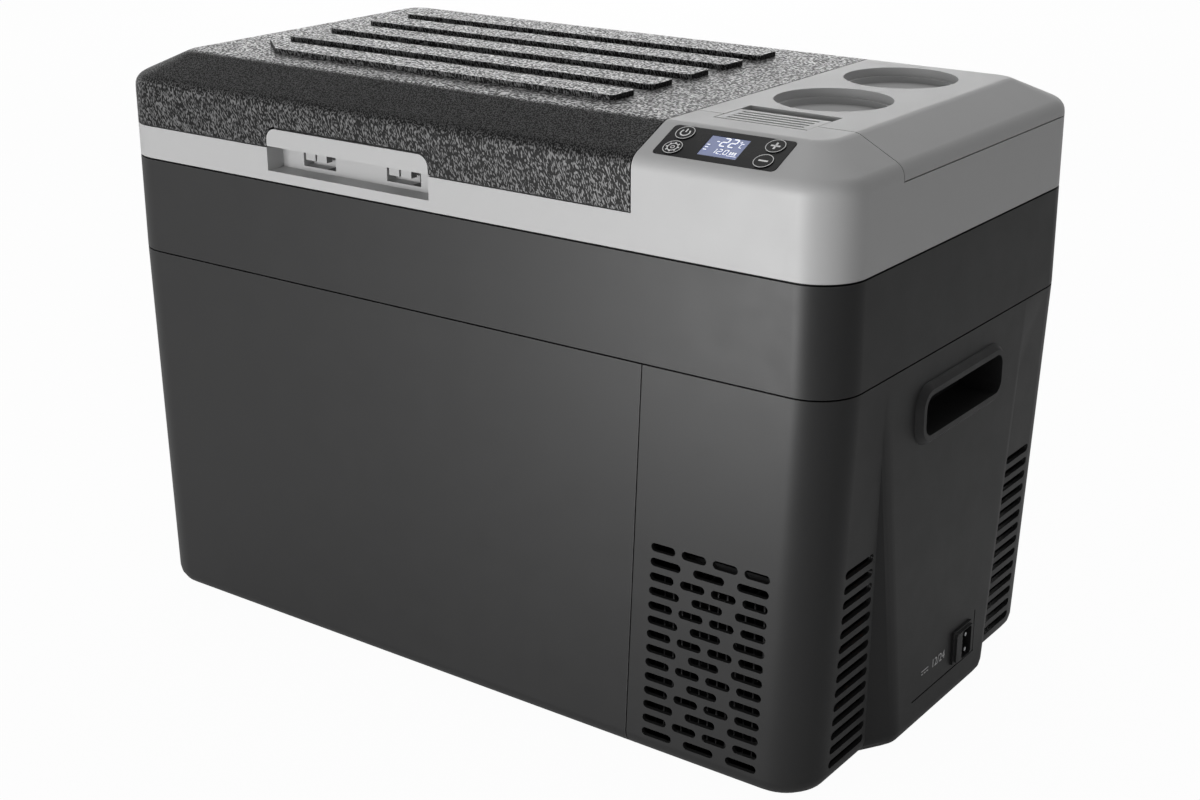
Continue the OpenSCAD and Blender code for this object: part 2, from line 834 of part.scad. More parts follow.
module hinge_rail(x, z0, z1) {
    box(x, [y_side - rail_d, y_side], [z0, z1]);
}

lid_rail_x = [-x_end + corner_r, lid_x - wall];
cover_rail_x = [deck_x + wall, x_end - corner_r];

// Solid block round the finger recess and the hook wells
module pull_block(gap) {
    box([pull_x0 - wall - gap, pull_x1 + wall + gap], [-y_side + over, latch_bay_y + gap],
        [recess_z - wall - gap, z_lid]);
}

module hook_places() {
    for (s = [-1, 1]) translate([pull_mid + s * window_from_mid, 0, 0]) children();
}

module liner_outline(gap) {
    grow = liner_t + gap;
    rounded([tub_x0 - grow, tub_x1 + grow], [-tub_y - grow, tub_y + grow], tub_r + grow);
}

module on_panel() {
    translate([x_end - panel_from_end, -y_side + panel_from_front, z_bevel + panel_from_front * tan(bevel_angle)])
        rotate([bevel_angle, 0, 0]) children();
}

button_places = [[-button_from_mid, button_rise], [-button_from_mid, -button_rise],
    [button_from_mid, button_rise], [button_from_mid, -button_rise]];

module panel_pocket() {
    on_panel() {
        translate([0, 0, panel_proud - panel_t]) linear_extrude(far)
            centred(panel_l + 2 * fit, panel_w + 2 * fit, panel_r + fit);
        translate([0, 0, -board_drop]) linear_extrude(board_drop)
            square([display_l + 2 * fit, display_w + 2 * fit], center = true);
        for (p = button_places) translate([p.x, p.y, -board_drop])
            cylinder(h = board_drop, d = stem_d + 2 * play);
    }
}

module frame_body() {
    difference() {
        crown();
        box([-far, deck_x], [-far, far], [z_lid, far]);
        box([-far, far], [cover_y, far], [z_cover, far]);
        intersection() {
            upright(wall, z_band - over, z_lid - rim_t);
            box([-far, deck_x], [-far, far], [0, far]);
        }
        intersection() {
            crown_inside(wall);
            box([deck_x + wall, far], [-far, cover_y - wall], [0, far]);
        }
        intersection() {
            upright(wall, z_band - over, z_cover - wall);
            box([deck_x + wall, far], [cover_y - wall - over, far], [0, far]);
        }
    }
}

module top_frame() {
    color(grey) difference() {
        union() {
            difference() {
                union() {
                    frame_body();
                    pull_block(0);
                    hinge_rail(lid_rail_x, z_lid - rail_h, z_lid);
                    hinge_rail(cover_rail_x, z_cover - rail_h, z_cover);
                }
                intersection() {
                    hinge_groove(lid_hinge_z);
                    box([-far, deck_x], [0, far], [0, far]);
                }
                hinge_groove(cover_hinge_z);
                moving_knuckles(lid_hinges, lid_hinge_z, knuckle_r + play, play);
                moving_knuckles(cover_hinges, cover_hinge_z, knuckle_r + play, play);
            }
            fixed_knuckles(lid_hinges, lid_hinge_z, knuckle_r, 0);
            fixed_knuckles(cover_hinges, cover_hinge_z, knuckle_r, 0);
        }
        hinge_pins(lid_hinges, lid_hinge_z, pin_r + pin_play, over);
        hinge_pins(cover_hinges, cover_hinge_z, pin_r + pin_play, over);
        translate([0, 0, z_band]) linear_extrude(far) liner_outline(fit);
        translate([0, 0, z_lid - flange_t]) linear_extrude(far) liner_outline(flange_reach + fit);
        box([pull_x0, pull_x1], [-y_side - over, recess_y], [recess_z, z_lid + over]);
        hook_places() {
            box([-window_l / 2, window_l / 2], [recess_y - over, nose_y + play], [sill_z, z_lid + over]);
            box([-window_l / 2, window_l / 2], [nose_y, well_y], [sill_z, ledge_z]);
        }
        panel_pocket();
        box([cup_x - catch_l / 2 - play, cup_x + catch_l / 2 + play], [notch_y, cover_y + over],
            [z_top - catch_depth, far]);
        box([bay_x0 - bay_t - fit, bay_x0 + bay_l + bay_t + fit], [bay_y0 - bay_t - fit, bay_y1 + bay_t + fit],
            [z_cover - rail_h - over, far]);
    }
}

module inner_liner() {
    color("white") difference() {
        union() {
            translate([0, 0, tub_z - liner_t]) linear_extrude(z_lid - tub_z + liner_t) liner_outline(0);
            translate([0, 0, z_lid - flange_t]) linear_extrude(flange_t) liner_outline(flange_reach);
        }
        translate([0, 0, tub_z]) linear_extrude(far)
            rounded([tub_x0, tub_x1], [-tub_y, tub_y], tub_r);
        light_place() rotate([0, -90, 0]) cylinder(h = liner_t + 2 * over, d = light_d + 2 * fit);
    }
}

light_gap = 6;
light_t = 3;
light_z = evaporator_z + evaporator_h + light_gap + light_d / 2;

module light_place() {
    translate([tub_x1 + liner_t + over, 0, light_z]) children();
}

module interior_light() {
    color("lightyellow") translate([tub_x1, 0, light_z]) rotate([0, 90, 0])
        cylinder(h = light_t, d = light_d);
}

module evaporator_sleeve(gap) {
    translate([0, 0, evaporator_z - gap]) linear_extrude(evaporator_h + 2 * gap) difference() {
        liner_outline(fit + evaporator_t + gap);
        liner_outline(gap > 0 ? 0 : fit);
    }
}

module evaporator() {
    color(steel) evaporator_sleeve(0);
}

module foam_form() {
    split = z_seam - lip_h - over;
    intersection() {
        union() {
            lower_form(wall + fit, split);
            upright(collar_t + fit + taper_right * lean_at(split), split - over, z_lid - rim_t - fit);
        }
        box([-far, bulk_x], [-far, far], [0, far]);
    }
}

module insulation_foam() {
    color(foam_white) difference() {
        foam_form();
        translate([0, 0, tub_z - liner_t - fit]) linear_extrude(far) liner_outline(fit);
        evaporator_sleeve(fit);
        on_left_end() pocket_outside(2 * fit);
        pull_block(fit);
        hinge_rail([-far, far], z_lid - rail_h - fit, far);
        light_place() rotate([0, -90, 0]) cylinder(h = 2 * light_t, d = light_d + 2 * fit, center = true);
        rod([tub_x1, suction_y, suction_z], [far, suction_y, suction_z], tube_r + pin_play);
        rod([tub_x1, capillary_y, capillary_z], [far, capillary_y, capillary_z], capillary_r + pin_play);
        foot_places() translate([0, 0, floor_z - over]) cylinder(h = 2 * over, r = foot_plug_r + fit);
    }
}

module bulkhead() {
    color(charcoal) difference() {
        intersection() {
            union() {
                lower_form(wall + fit, z_seam - lip_h - fit);
                upright(collar_t + fit + taper_right * lean_at(z_seam - lip_h - over), z_seam - lip_h - over,
                    z_lid - rim_t - fit);
            }
            box([bulk_x, warm_x], [-far, far], [floor_z, far]);
        }
        hinge_rail([-far, far], z_lid - rail_h - fit, far);
        rod([0, suction_y, suction_z], [far, suction_y, suction_z], tube_r + pin_play);
        rod([0, capillary_y, capillary_z], [far, capillary_y, capillary_z], capillary_r + pin_play);
    }
}

base_margin = 22;

module base_screw_places() {
    x0 = x_end - seam_from_end - seam_lean + base_margin;
    x1 = x_end - (foot_from_end + base_margin) / 2;
    for (x = [x0, x1], s = [-1, 1])
        translate([x, s * (y_side - base_margin), 0]) children();
}

module bolt_places() {
    for (u = [-bolt_half, bolt_half], v = [-bolt_half, bolt_half])
        translate([machine_x + u, can_y + v, 0]) children();
}

module base_plate() {
    color(steel) difference() {
        intersection() {
            lower_form(wall + fit, z_seam);
            box([warm_x + fit, far], [-far, far], [floor_z, deck_z]);
        }
        base_screw_places() cylinder(h = far, r = screw_r + pin_play);
        bolt_places() cylinder(h = far, r = bolt_r + pin_play);
        foot_places() cylinder(h = far, r = foot_plug_r + fit);
    }
}

module rubber_feet() {
    color(black) foot_places() {
        cylinder(h = foot_h, d = foot_d);
        cylinder(h = floor_z, r = foot_plug_r);
    }
}

screw_head_r = 4;
screw_head_h = 2;

module base_screws() {
    color(steel) base_screw_places() {
        translate([0, 0, z_base - screw_head_h]) cylinder(h = screw_head_h, r = screw_head_r);
        translate([0, 0, z_base - over]) cylinder(h = deck_z - z_base + over, r = screw_r);
    }
}

can_dome = 14;
can_neck_r = 34;
stub_l = 12;
stub_z = can_z + can_h * 0.7;
discharge_x = machine_x + can_r / 2;

module compressor() {
    color(black) difference() {
        union() {
            translate([machine_x, can_y, can_z]) {
                cylinder(h = can_h - can_dome, r = can_r);
                translate([0, 0, can_h - can_dome]) cylinder(h = can_dome, r1 = can_r, r2 = can_neck_r);
            }
            box([machine_x - bolt_half - grommet_r, machine_x + bolt_half + grommet_r],
                [can_y - bolt_half - grommet_r, can_y + bolt_half + grommet_r], [can_z - can_foot_t, can_z]);
            rod([machine_x, can_y, stub_z], [machine_x, can_y + can_r + stub_l, stub_z], tube_r + 1);
            rod([discharge_x, can_y, stub_z], [discharge_x, can_y - can_r - stub_l / 2, stub_z], tube_r + 1);
        }
        bolt_places() cylinder(h = can_z + over, r = bolt_r + pin_play);
    }
}

module compressor_grommets() {
    color(black) difference() {
        bolt_places() translate([0, 0, deck_z]) cylinder(h = grommet_h, r = grommet_r);
        bolt_places() cylinder(h = far, r = bolt_r + pin_play);
    }
}

nut_h = 3.5;
nut_r = 5.5;

module compressor_bolts() {
    color(steel) bolt_places() {
        translate([0, 0, floor_z]) cylinder(h = can_z + nut_h + over - floor_z, r = bolt_r);
        translate([0, 0, can_z]) cylinder(h = nut_h, r = nut_r, $fn = 6);
    }
}

module condenser_fins() {
    y0 = coil_y - condenser_d / 2;
    gap = (condenser_l - fin_t) / (fin_n - 1);
    color(steel) difference() {
        for (i = [0:fin_n - 1])
            box([condenser_x0 + i * gap, condenser_x0 + i * gap + fin_t], [y0, y0 + condenser_d],
                [deck_z, deck_z + condenser_h]);
        for (i = [0:coil_n - 1])
            rod([condenser_x0 - over, coil_y, coil_z0 + i * coil_pitch],
                [condenser_x1 + over, coil_y, coil_z0 + i * coil_pitch], tube_r + pin_play);
    }
}

coil_end = 4;

module condenser_coil() {
    x = [condenser_x0 - coil_end, condenser_x1 + coil_end];
    color(copper) tube([for (i = [0:coil_n - 1], j = [0, 1])
        [x[(i + j) % 2], coil_y, coil_z0 + i * coil_pitch]], tube_r);
}

// Frame of reference of the fan: axis along +Y from its front face
module on_fan() {
    translate([machine_x, fan_y, fan_z]) rotate([-90, 0, 0]) children();
}

strut_t = 3;
motor_r = 16;
shaft_r = 1.5;
rotor_gap = 2;
motor_h = 8;

module fan_shroud() {
    color(black) on_fan() difference() {
        union() {
            difference() {
                translate([-fan_size / 2, -fan_size / 2, 0]) cube([fan_size, fan_size, fan_d]);
                translate([0, 0, -over]) cylinder(h = fan_d + 2 * over, r = fan_r);
            }
            for (a = [45:90:315]) rotate([0, 0, a])
                translate([motor_r - over, -strut_t / 2, fan_d - strut_t])
                    cube([fan_r - motor_r + 2 * over, strut_t, strut_t]);
            translate([0, 0, fan_d - strut_t]) cylinder(h = strut_t, r = motor_r);
        }
        translate([0, 0, fan_d - strut_t - over]) cylinder(h = strut_t + 2 * over, r = shaft_r + pin_play);
    }
}

module fan_motor() {
    color(steel) on_fan() {
        translate([0, 0, fan_d - strut_t - motor_h]) cylinder(h = motor_h, r = motor_r - rotor_gap);
        translate([0, 0, rotor_gap]) cylinder(h = fan_d - rotor_gap, r = shaft_r);
    }
}

module fan_rotor() {
    hub_h = fan_d - strut_t - rotor_gap - play;
    blade_h = hub_h - 2 * rotor_gap;
    color(black) on_fan() difference() {
        union() {
            translate([0, 0, rotor_gap]) cylinder(h = hub_h, r = fan_hub_r);
            intersection() {
                for (i = [0:fan_blades - 1]) rotate([0, 0, i * 360 / fan_blades])
                    translate([0, 0, rotor_gap + hub_h / 2]) rotate([fan_blade_angle, 0, 0])
                        translate([fan_hub_r - over, -far / 2, -fan_blade_t / 2])
                            cube([fan_r, far, fan_blade_t]);
                translate([0, 0, 2 * rotor_gap]) difference() {
                    cylinder(h = blade_h, r = fan_r - fan_tip_gap);
                    translate([0, 0, -over]) cylinder(h = blade_h + 2 * over, r = fan_hub_r - over);
                }
            }
        }
        translate([0, 0, fan_d - strut_t - motor_h - play]) cylinder(h = far, r = motor_r - rotor_gap + play);
        cylinder(h = far, r = shaft_r + pin_play);
    }
}

module filter_drier() {
    color(copper) translate([drier_x, drier_y, drier_z]) {
        cylinder(h = drier_neck, r1 = tube_r + 1, r2 = drier_r);
        translate([0, 0, drier_neck]) cylinder(h = drier_l - 2 * drier_neck, r = drier_r);
        translate([0, 0, drier_l - drier_neck]) cylinder(h = drier_neck, r1 = drier_r, r2 = tube_r + 1);
    }
}

module drier_clip() {
    h = 12;
    t = 2;
    color(steel) translate([0, drier_y, drier_z + drier_l / 2]) difference() {
        union() {
            translate([drier_x, 0, 0]) cylinder(h = h, r = drier_r + t);
            box([warm_x, drier_x], [-drier_r - t, drier_r + t], [0, h]);
        }
        translate([drier_x, 0, -over]) cylinder(h = h + 2 * over, r = drier_r + pin_play);
        box([drier_x + drier_r / 2, far], [-far, far], [-over, h + over]);
        box([-far, warm_x], [-far, far], [-over, h + over]);
    }
}

module suction_pipe() {
    y = suction_y;
    color(copper) tube([[tub_x1 + liner_t + 2 * fit + evaporator_t, y, suction_z], [machine_x, y, suction_z],
        [machine_x, y, stub_z], [machine_x, can_y + can_r + stub_l, stub_z]], tube_r);
}

riser_gap = 9;

module discharge_pipe() {
    x = condenser_x1 + riser_gap + tube_r;
    y = can_y - can_r - stub_l / 2;
    z = fan_z + fan_size / 2 + 3 * riser_gap;
    color(copper) tube([[discharge_x, y, stub_z], [discharge_x, y - 2 * riser_gap, stub_z],
        [discharge_x, y - 2 * riser_gap, z], [x, y - 2 * riser_gap, z], [x, coil_y, z],
        [x, coil_y, coil_top], [condenser_x1 + coil_end, coil_y, coil_top]], tube_r);
}

module liquid_pipe() {
    z = drier_z - riser_gap;
    color(copper) tube([[condenser_x0 - coil_end, coil_y, coil_z0], [drier_x, coil_y, coil_z0],
        [drier_x, coil_y, z], [drier_x, drier_y, z], [drier_x, drier_y, drier_z]], tube_r);
}

module capillary_tube() {
    y = capillary_y;
    color(copper) tube([[drier_x, drier_y, drier_z + drier_l], [drier_x, drier_y, capillary_z],
        [drier_x, y, capillary_z], [tub_x1 + liner_t + 2 * fit + evaporator_t, y, capillary_z]], capillary_r);
}

board_x = warm_x + board_gap;

module standoff_places() {
    inset = 6;
    for (y = [board_y - board_l / 2 + inset, board_y + board_l / 2 - inset],
        z = [board_z - board_h / 2 + inset, board_z + board_h / 2 - inset])
        translate([warm_x, y, z]) rotate([0, 90, 0]) children();
}

relay_h = 14;
relay_w = 18;
relay_l = 26;
relay_low = 10;
relay_pitch = 24;
relay_from_mid = 40;
standoff_r = 3;
sink_h = 44;
sink_l = 16;
sink_t = 3;
sink_pitch = 7;
sink_from_mid = 8;

module control_board() {
    color("darkgreen") {
        box([board_x, board_x + board_t], [board_y - board_l / 2, board_y + board_l / 2],
            [board_z - board_h / 2, board_z + board_h / 2]);
        for (s = [0, 1]) {
            y0 = board_y - relay_from_mid + s * relay_pitch;
            box([board_x + board_t - slice, board_x + board_t + relay_h], [y0, y0 + relay_w],
                [board_z + relay_low, board_z + relay_low + relay_l]);
        }
    }
}

module board_standoffs() {
    color(steel) standoff_places() cylinder(h = board_gap, r = standoff_r);
}

module driver_heatsink() {
    fins = 6;
    fin_t = sink_t * 2 / 3;
    x0 = board_x + board_t;
    color(steel) translate([0, board_y + sink_from_mid, board_z - sink_h]) {
        box([x0, x0 + sink_t], [0, (fins - 1) * sink_pitch + fin_t], [0, sink_h]);
        for (i = [0:fins - 1])
            box([x0 + fin_t, x0 + sink_l], [i * sink_pitch, i * sink_pitch + fin_t], [0, sink_h]);
    }
}

module control_panel() {
    color(black) on_panel() difference() {
        translate([0, 0, panel_proud - panel_t]) linear_extrude(panel_t) centred(panel_l, panel_w, panel_r);
        translate([0, 0, -far / 2]) linear_extrude(far) square([display_l, display_w], center = true);
        for (p = button_places) translate([p.x, p.y, -panel_t])
            cylinder(h = 2 * panel_t, d = button_d + 2 * play);
    }
}

module display_lcd() {
    color("lightsteelblue") on_panel() translate([0, 0, -board_drop]) linear_extrude(board_drop)
        square([display_l - 2 * fit, display_w - 2 * fit], center = true);
}

switch_h = 1.3;

module display_board() {
    color("darkgreen") on_panel() {
        translate([0, 0, -board_drop - board_t]) linear_extrude(board_t)
            centred(panel_l - 2 * panel_r, panel_w - 2 * fit, 1);
        for (p = button_places) translate([p.x, p.y, -board_drop - slice]) cylinder(h = switch_h, d = stem_d);
    }
}

module display_spacers() {
    color(black) on_panel() for (x = [-1, 1], y = [-1, 1])
        translate([x * panel_l / 4, y * (panel_w / 2 - panel_r), -board_drop])
            cylinder(h = board_drop - wall, r = 2);
}

module button(i) {
    p = button_places[i];
    color(black) on_panel() translate([p.x, p.y, 0]) {
        translate([0, 0, panel_proud - panel_t + play + button_travel])
            cylinder(h = panel_t - play, d = button_d);
        translate([0, 0, switch_h + button_travel + play - board_drop])
            cylinder(h = board_drop - switch_h - button_travel - play, d = stem_d);
    }
}

module power_button() { button(0); }
module mode_button() { button(1); }
module plus_button() { button(2); }
module minus_button() { button(3); }

socket_step = 1.6;

module dc_socket() {
    color(black) difference() {
        union() {
            socket_block(0, socket_proud / 2, 0);
            socket_block(0, socket_proud, socket_step);
            socket_block(-socket_depth - wall, slice, socket_neck);
        }
        along_x(x_end - socket_depth + socket_proud, x_end + socket_proud + over)
            translate([socket_open_y, z_base + socket_z]) centred(socket_open_l, socket_open_h, 2);
        socket_pin_places() cylinder(h = far, r = socket_pin_r + pin_play, center = true);
    }
}

module socket_pin_places() {
    for (s = [-1, 1])
        translate([x_end, socket_open_y, z_base + socket_z + s * socket_pin_pitch / 2]) rotate([0, 90, 0])
            children();
}

pin_tail = 4;
pin_below = 1;

module dc_socket_pins() {
    color(steel) socket_pin_places() translate([0, 0, -socket_depth - wall - pin_tail])
        cylinder(h = socket_depth + wall + pin_tail + socket_proud - pin_below, r = socket_pin_r);
}

lead_r = 2.4;
lead_l = 12;

module power_lead() {
    x = x_end - socket_depth - wall - pin_tail - lead_r;
    y = can_y - can_r - 4 * lead_r;
    z = z_base + socket_z + socket_pin_pitch / 2;
    board_low = board_z - board_h / 2 + 4 * lead_r;
    color(black) tube([[x, socket_open_y, z], [x - lead_l, y, z + lead_l], [x - lead_l, y, board_low],
        [board_x + board_t, y, board_low]], lead_r);
}

module grip_right() {
    color(black) on_right_end() grip();
}

module grip_left() {
    color(black) on_left_end() grip();
}

bay_flange = 5;

module battery_bay() {
    x = [bay_x0, bay_x0 + bay_l];
    y = [bay_y0, bay_y1];
    color(black) difference() {
        union() {
            box([x[0] - bay_t, x[1] + bay_t], [y[0] - bay_t, y[1] + bay_t],
                [z_cover - bay_depth - bay_t, z_cover + bay_t]);
            box([x[0] - bay_flange, x[1] + bay_flange], [y[0] - bay_flange, y[1] + bay_flange],
                [z_cover, z_cover + bay_t]);
        }
        box(x, y, [z_cover - bay_depth, far]);
    }
}

// Rib i of the lid, the front one cut at a slant on its left end
module lid_rib(i) {
    x0 = -x_end + rib_from_end;
    x1 = lid_x - rib_from_deck;
    y0 = (i - (rib_n - 1) / 2) * rib_pitch - rib_w / 2;
    y1 = y0 + rib_w;
    cut = i == 0 ? rib_slant : 0;
    start = i == 0 ? 0 : rib_r;
    translate([0, 0, z_top - over]) linear_extrude(rib_h + over) {
        polygon([[x0 + cut + start, y0], [x1 - rib_r, y0], [x1 - rib_r, y1], [x0 + start, y1]]);
        translate([x0 + cut + start, y0 + rib_r]) square([x1 - x0 - cut - start, rib_w - 2 * rib_r]);
        for (x = [if (i > 0) x0 + rib_r, x1 - rib_r], y = [y0 + rib_r, y1 - rib_r])
            translate([x, y]) circle(r = rib_r);
        if (i > 0) translate([x0, y0 + rib_r]) square([rib_r, rib_w - 2 * rib_r]);
    }
}

lid_z = z_lid + lid_gap;
liner_plate_z = z_lid + play + gasket_h;

module lid_hollow(inset) {
    intersection() {
        crown_inside(inset);
        box([-far, lid_x - inset], [-far, far], [0, far]);
    }
}

// Face of the pull handle, from the front, grown by a gap
module pull_face(gap, top) {
    z0 = pull_z - gap;
    z1 = pull_z + pull_h + top;
    r = pull_r;
    translate([pull_x0 - gap, z0]) square([pull_l + 2 * gap, z1 - z0 - r]);
    translate([pull_x0 - gap + r, z0]) square([pull_l + 2 * gap - 2 * r, z1 - z0]);
    intersection() {
        translate([pull_x0 - gap, z0]) square([pull_l + 2 * gap, z1 - z0]);
        for (x = [pull_x0 - gap + r, pull_x1 + gap - r]) translate([x, z1 - r]) circle(r);
    }
}

module ears() {
    for (s = [-1, 1]) {
        x = s < 0 ? pull_x0 - play : pull_x1 + play;
        box([min(x, x + s * ear_l), max(x, x + s * ear_l)], [-y_side + wall - slice, latch_y + barrel_r + ear_t],
            [latch_z - barrel_r - ear_t, latch_z + barrel_r + ear_t]);
    }
}

module lid_shell() {
    color(lid_black) difference() {
        union() {
            difference() {
                intersection() {
                    union() {
                        crown();
                        for (i = [0:rib_n - 1]) lid_rib(i);
                    }
                    box([-far, lid_x], [-far, far], [lid_z, far]);
                }
                difference() {
                    lid_hollow(wall);
                    hinge_rail(lid_rail_x, lid_z, lid_z + rail_h);
                }
                hinge_groove(lid_hinge_z);
                fixed_knuckles(lid_hinges, lid_hinge_z, knuckle_r + play, play);
            }
            moving_knuckles(lid_hinges, lid_hinge_z, knuckle_r, 0);
            ears();
        }
        hinge_pins(lid_hinges, lid_hinge_z, pin_r + pin_play, over);
        along_y(-y_side - over, -y_side + wall + over) {
            pull_face(play, pull_gap);
            translate([pull_x0 - play, z_lid]) square([pull_l + 2 * play, pull_lift + over]);
        }
        rod([pull_x0 - ear_l, latch_y, latch_z], [pull_x1 + ear_l, latch_y, latch_z], pin_r + pin_play);
        rod([pull_x0 - fit, latch_y, latch_z], [pull_x1 + fit, latch_y, latch_z], spring_r + fit);
    }
}

// Room in the lid for the latch, grown by a gap
module latch_bay(gap) {
    box([pull_x0 - ear_l - 2 - gap, pull_x1 + ear_l + 2 + gap], [-far, latch_bay_y + gap],
        [0, pull_z + pull_h + 8 + gap]);
}

module liner_plan(in) {
    intersection() {
        rounded([-x_end + in, x_end - in], [-y_side + in, y_side - in], corner_r - in);
        translate([-x_end, -y_side]) square([x_end + lid_x - in, 2 * y_side - in - rail_d - fit]);
    }
}

module lid_plug(gap) {
    in = plug_gap + gap;
    rounded([tub_x0 + in, tub_x1 - in], [-tub_y + in, tub_y - in], tub_r - in);
}

plate_t = 2;

module lid_liner() {
    color("white") difference() {
        union() {
            translate([0, 0, liner_plate_z]) linear_extrude(plate_t) liner_plan(wall + fit);
            translate([0, 0, z_lid - plug_depth]) linear_extrude(plug_depth + liner_plate_z + plate_t - z_lid)
                lid_plug(0);
            intersection() {
                crown_inside(wall + fit);
                latch_bay(plate_t);
                box([-far, far], [-far, far], [liner_plate_z, far]);
            }
        }
        translate([0, 0, z_lid - plug_depth + plate_t]) linear_extrude(far) lid_plug(plate_t);
        latch_bay(0);
    }
}

module lid_foam() {
    color(foam_white) difference() {
        union() {
            intersection() {
                crown_inside(wall + fit);
                box([-far, lid_x - wall - fit], [-far, y_side - wall - rail_d], [liner_plate_z + plate_t, far]);
            }
            translate([0, 0, z_lid - plug_depth + plate_t]) linear_extrude(plug_depth + liner_plate_z - z_lid + over)
                lid_plug(plate_t + fit);
        }
        latch_bay(plate_t + fit);
    }
}

module lid_gasket() {
    in = -liner_t - flange_reach + fit;
    color(black) translate([0, 0, z_lid + play]) linear_extrude(gasket_h) difference() {
        rounded([tub_x0 + in, tub_x1 - in], [-tub_y + in, tub_y - in], tub_r - in);
        rounded([tub_x0 + in + gasket_w, tub_x1 - in - gasket_w], [-tub_y + in + gasket_w, tub_y - in - gasket_w],
            tub_r - in - gasket_w);
    }
}

module lid_hinge_pins() {
    color(steel) hinge_pins(lid_hinges, lid_hinge_z, pin_r, 0);
}

module cover_hinge_pins() {
    color(steel) hinge_pins(cover_hinges, cover_hinge_z, pin_r, 0);
}

// One hook: two prongs that hang in a window, with noses that catch under the ledge
module hook() {
    for (i = [0, 1]) {
        x = -window_l / 2 + prong_gap + i * (prong_w + prong_gap);
        box([x, x + prong_w], [prong_y, prong_y + prong_t], [nose_z, latch_z]);
        box([x, x + prong_w], [prong_y, nose_y], [nose_z, nose_z + nose_h]);
    }
}

web_t = 2.6;
spring_t = 0.6;
spring_r = pin_r + spring_t;

module latch_handle() {
    x = [pull_x0 + spring_l + play, pull_x1 - spring_l - play];
    color(grey) difference() {
        union() {
            along_y(-y_side, -y_side + pull_t - fit) pull_face(0, 0);
            rod([x[0], latch_y, latch_z], [x[1], latch_y, latch_z], barrel_r);
            box([x[0], x[1]], [-y_side + pull_t / 2, latch_y], [latch_z - barrel_r, latch_z]);
            box([x[0], x[1]], [latch_y, prong_y + prong_t], [latch_z - barrel_r + slice, latch_z - barrel_r + web_t]);
            hook_places() hook();
        }
        rod([pull_x0 - over, latch_y, latch_z], [pull_x1 + over, latch_y, latch_z], pin_r + pin_play);
        for (e = [[pull_x0 - over, x[0]], [x[1], pull_x1 + over]])
            rod([e[0], latch_y, latch_z], [e[1], latch_y, latch_z], spring_r + play);
    }
}

module latch_pin() {
    color(steel) rod([pull_x0 - ear_l, latch_y, latch_z], [pull_x1 + ear_l, latch_y, latch_z], pin_r);
}

module latch_springs() {
    color(steel) difference() {
        for (s = [-1, 1]) {
            x = s < 0 ? pull_x0 : pull_x1 - spring_l;
            rod([x, latch_y, latch_z], [x + spring_l, latch_y, latch_z], spring_r);
        }
        rod([pull_x0 - over, latch_y, latch_z], [pull_x1 + over, latch_y, latch_z], pin_r + pin_play);
    }
}

cover_z = z_cover + lid_gap;
cover_front = cover_y + lid_gap;

module cup_walls() {
    for (y = cups_y) translate([cup_x, y, z_top - cup_depth - wall])
        cylinder(h = cup_depth + wall - slice, d = cup_d + 2 * wall);
}

module cup_rooms() {
    for (y = cups_y) translate([cup_x, y, z_top]) {
        translate([0, 0, -cup_step]) cylinder(h = far, d = cup_d);
        translate([0, 0, -cup_depth]) cylinder(h = far, d = cup_d - 2 * cup_ledge);
    }
}

module accessory_cover() {
    color(grey) difference() {
        union() {
            difference() {
                intersection() {
                    crown();
                    box([deck_x, far], [cover_front, far], [cover_z, far]);
                }
                difference() {
                    intersection() {
                        crown_inside(wall);
                        box([deck_x + wall, far], [cover_front + wall, far], [0, far]);
                    }
                    cup_walls();
                    hinge_rail(cover_rail_x, cover_z, far);
                }
                hinge_groove(cover_hinge_z);
                fixed_knuckles(cover_hinges, cover_hinge_z, knuckle_r + play, play);
            }
            moving_knuckles(cover_hinges, cover_hinge_z, knuckle_r, 0);
        }
        hinge_pins(cover_hinges, cover_hinge_z, pin_r + pin_play, over);
        cup_rooms();
        catch_way();
    }
}

rail_low = 1.8;

// Height of the catch's side rails, grown by a gap
function catch_rail_z(gap) = [z_top - catch_depth + rail_low - gap, z_top - catch_depth + 2 * rail_low + gap];

// Room that the catch and its rails slide in
module catch_way() {
    x = [cup_x - catch_l / 2 - play, cup_x + catch_l / 2 + play];
    box(x, [-far, slot_y], [z_top - catch_depth, far]);
    box([x[0] - rail_groove, x[1] + rail_groove], [-far, slot_y], catch_rail_z(play));
}

// Tray under the cover's slot, with the grooves for the catch's rails
module catch_tray() {
    half = catch_l / 2 + rail_groove + 2 * play + wall / 2;
    color(black) difference() {
        box([cup_x - half, cup_x + half], [cover_front + wall, slot_y + wall],
            [z_top - catch_depth - wall, z_top - wall]);
        catch_way();
    }
}

module cover_catch() {
    x = [cup_x - catch_l / 2, cup_x + catch_l / 2];
    y1 = catch_y + catch_w;
    groove_n = 4;
    groove_step = 5.9;
    groove_from = 4.6;
    groove_w = 2.4;
    color(grey) difference() {
        union() {
            box(x, [catch_y, y1], [z_top - catch_depth + play, z_top]);
            box([x[0] - rail_groove + play, x[1] + rail_groove - play], [cover_front + play, y1], catch_rail_z(0));
            box(x, [catch_y - lip_gap, catch_y + over], [z_top - catch_depth + play, z_top - wall - play]);
        }
        for (i = [0:groove_n - 1]) {
            y = y1 - groove_from - i * groove_step;
            box([cup_x - catch_groove_l / 2, cup_x + catch_groove_l / 2], [y - groove_w, y],
                [z_top - catch_groove_d, far]);
        }
    }
}

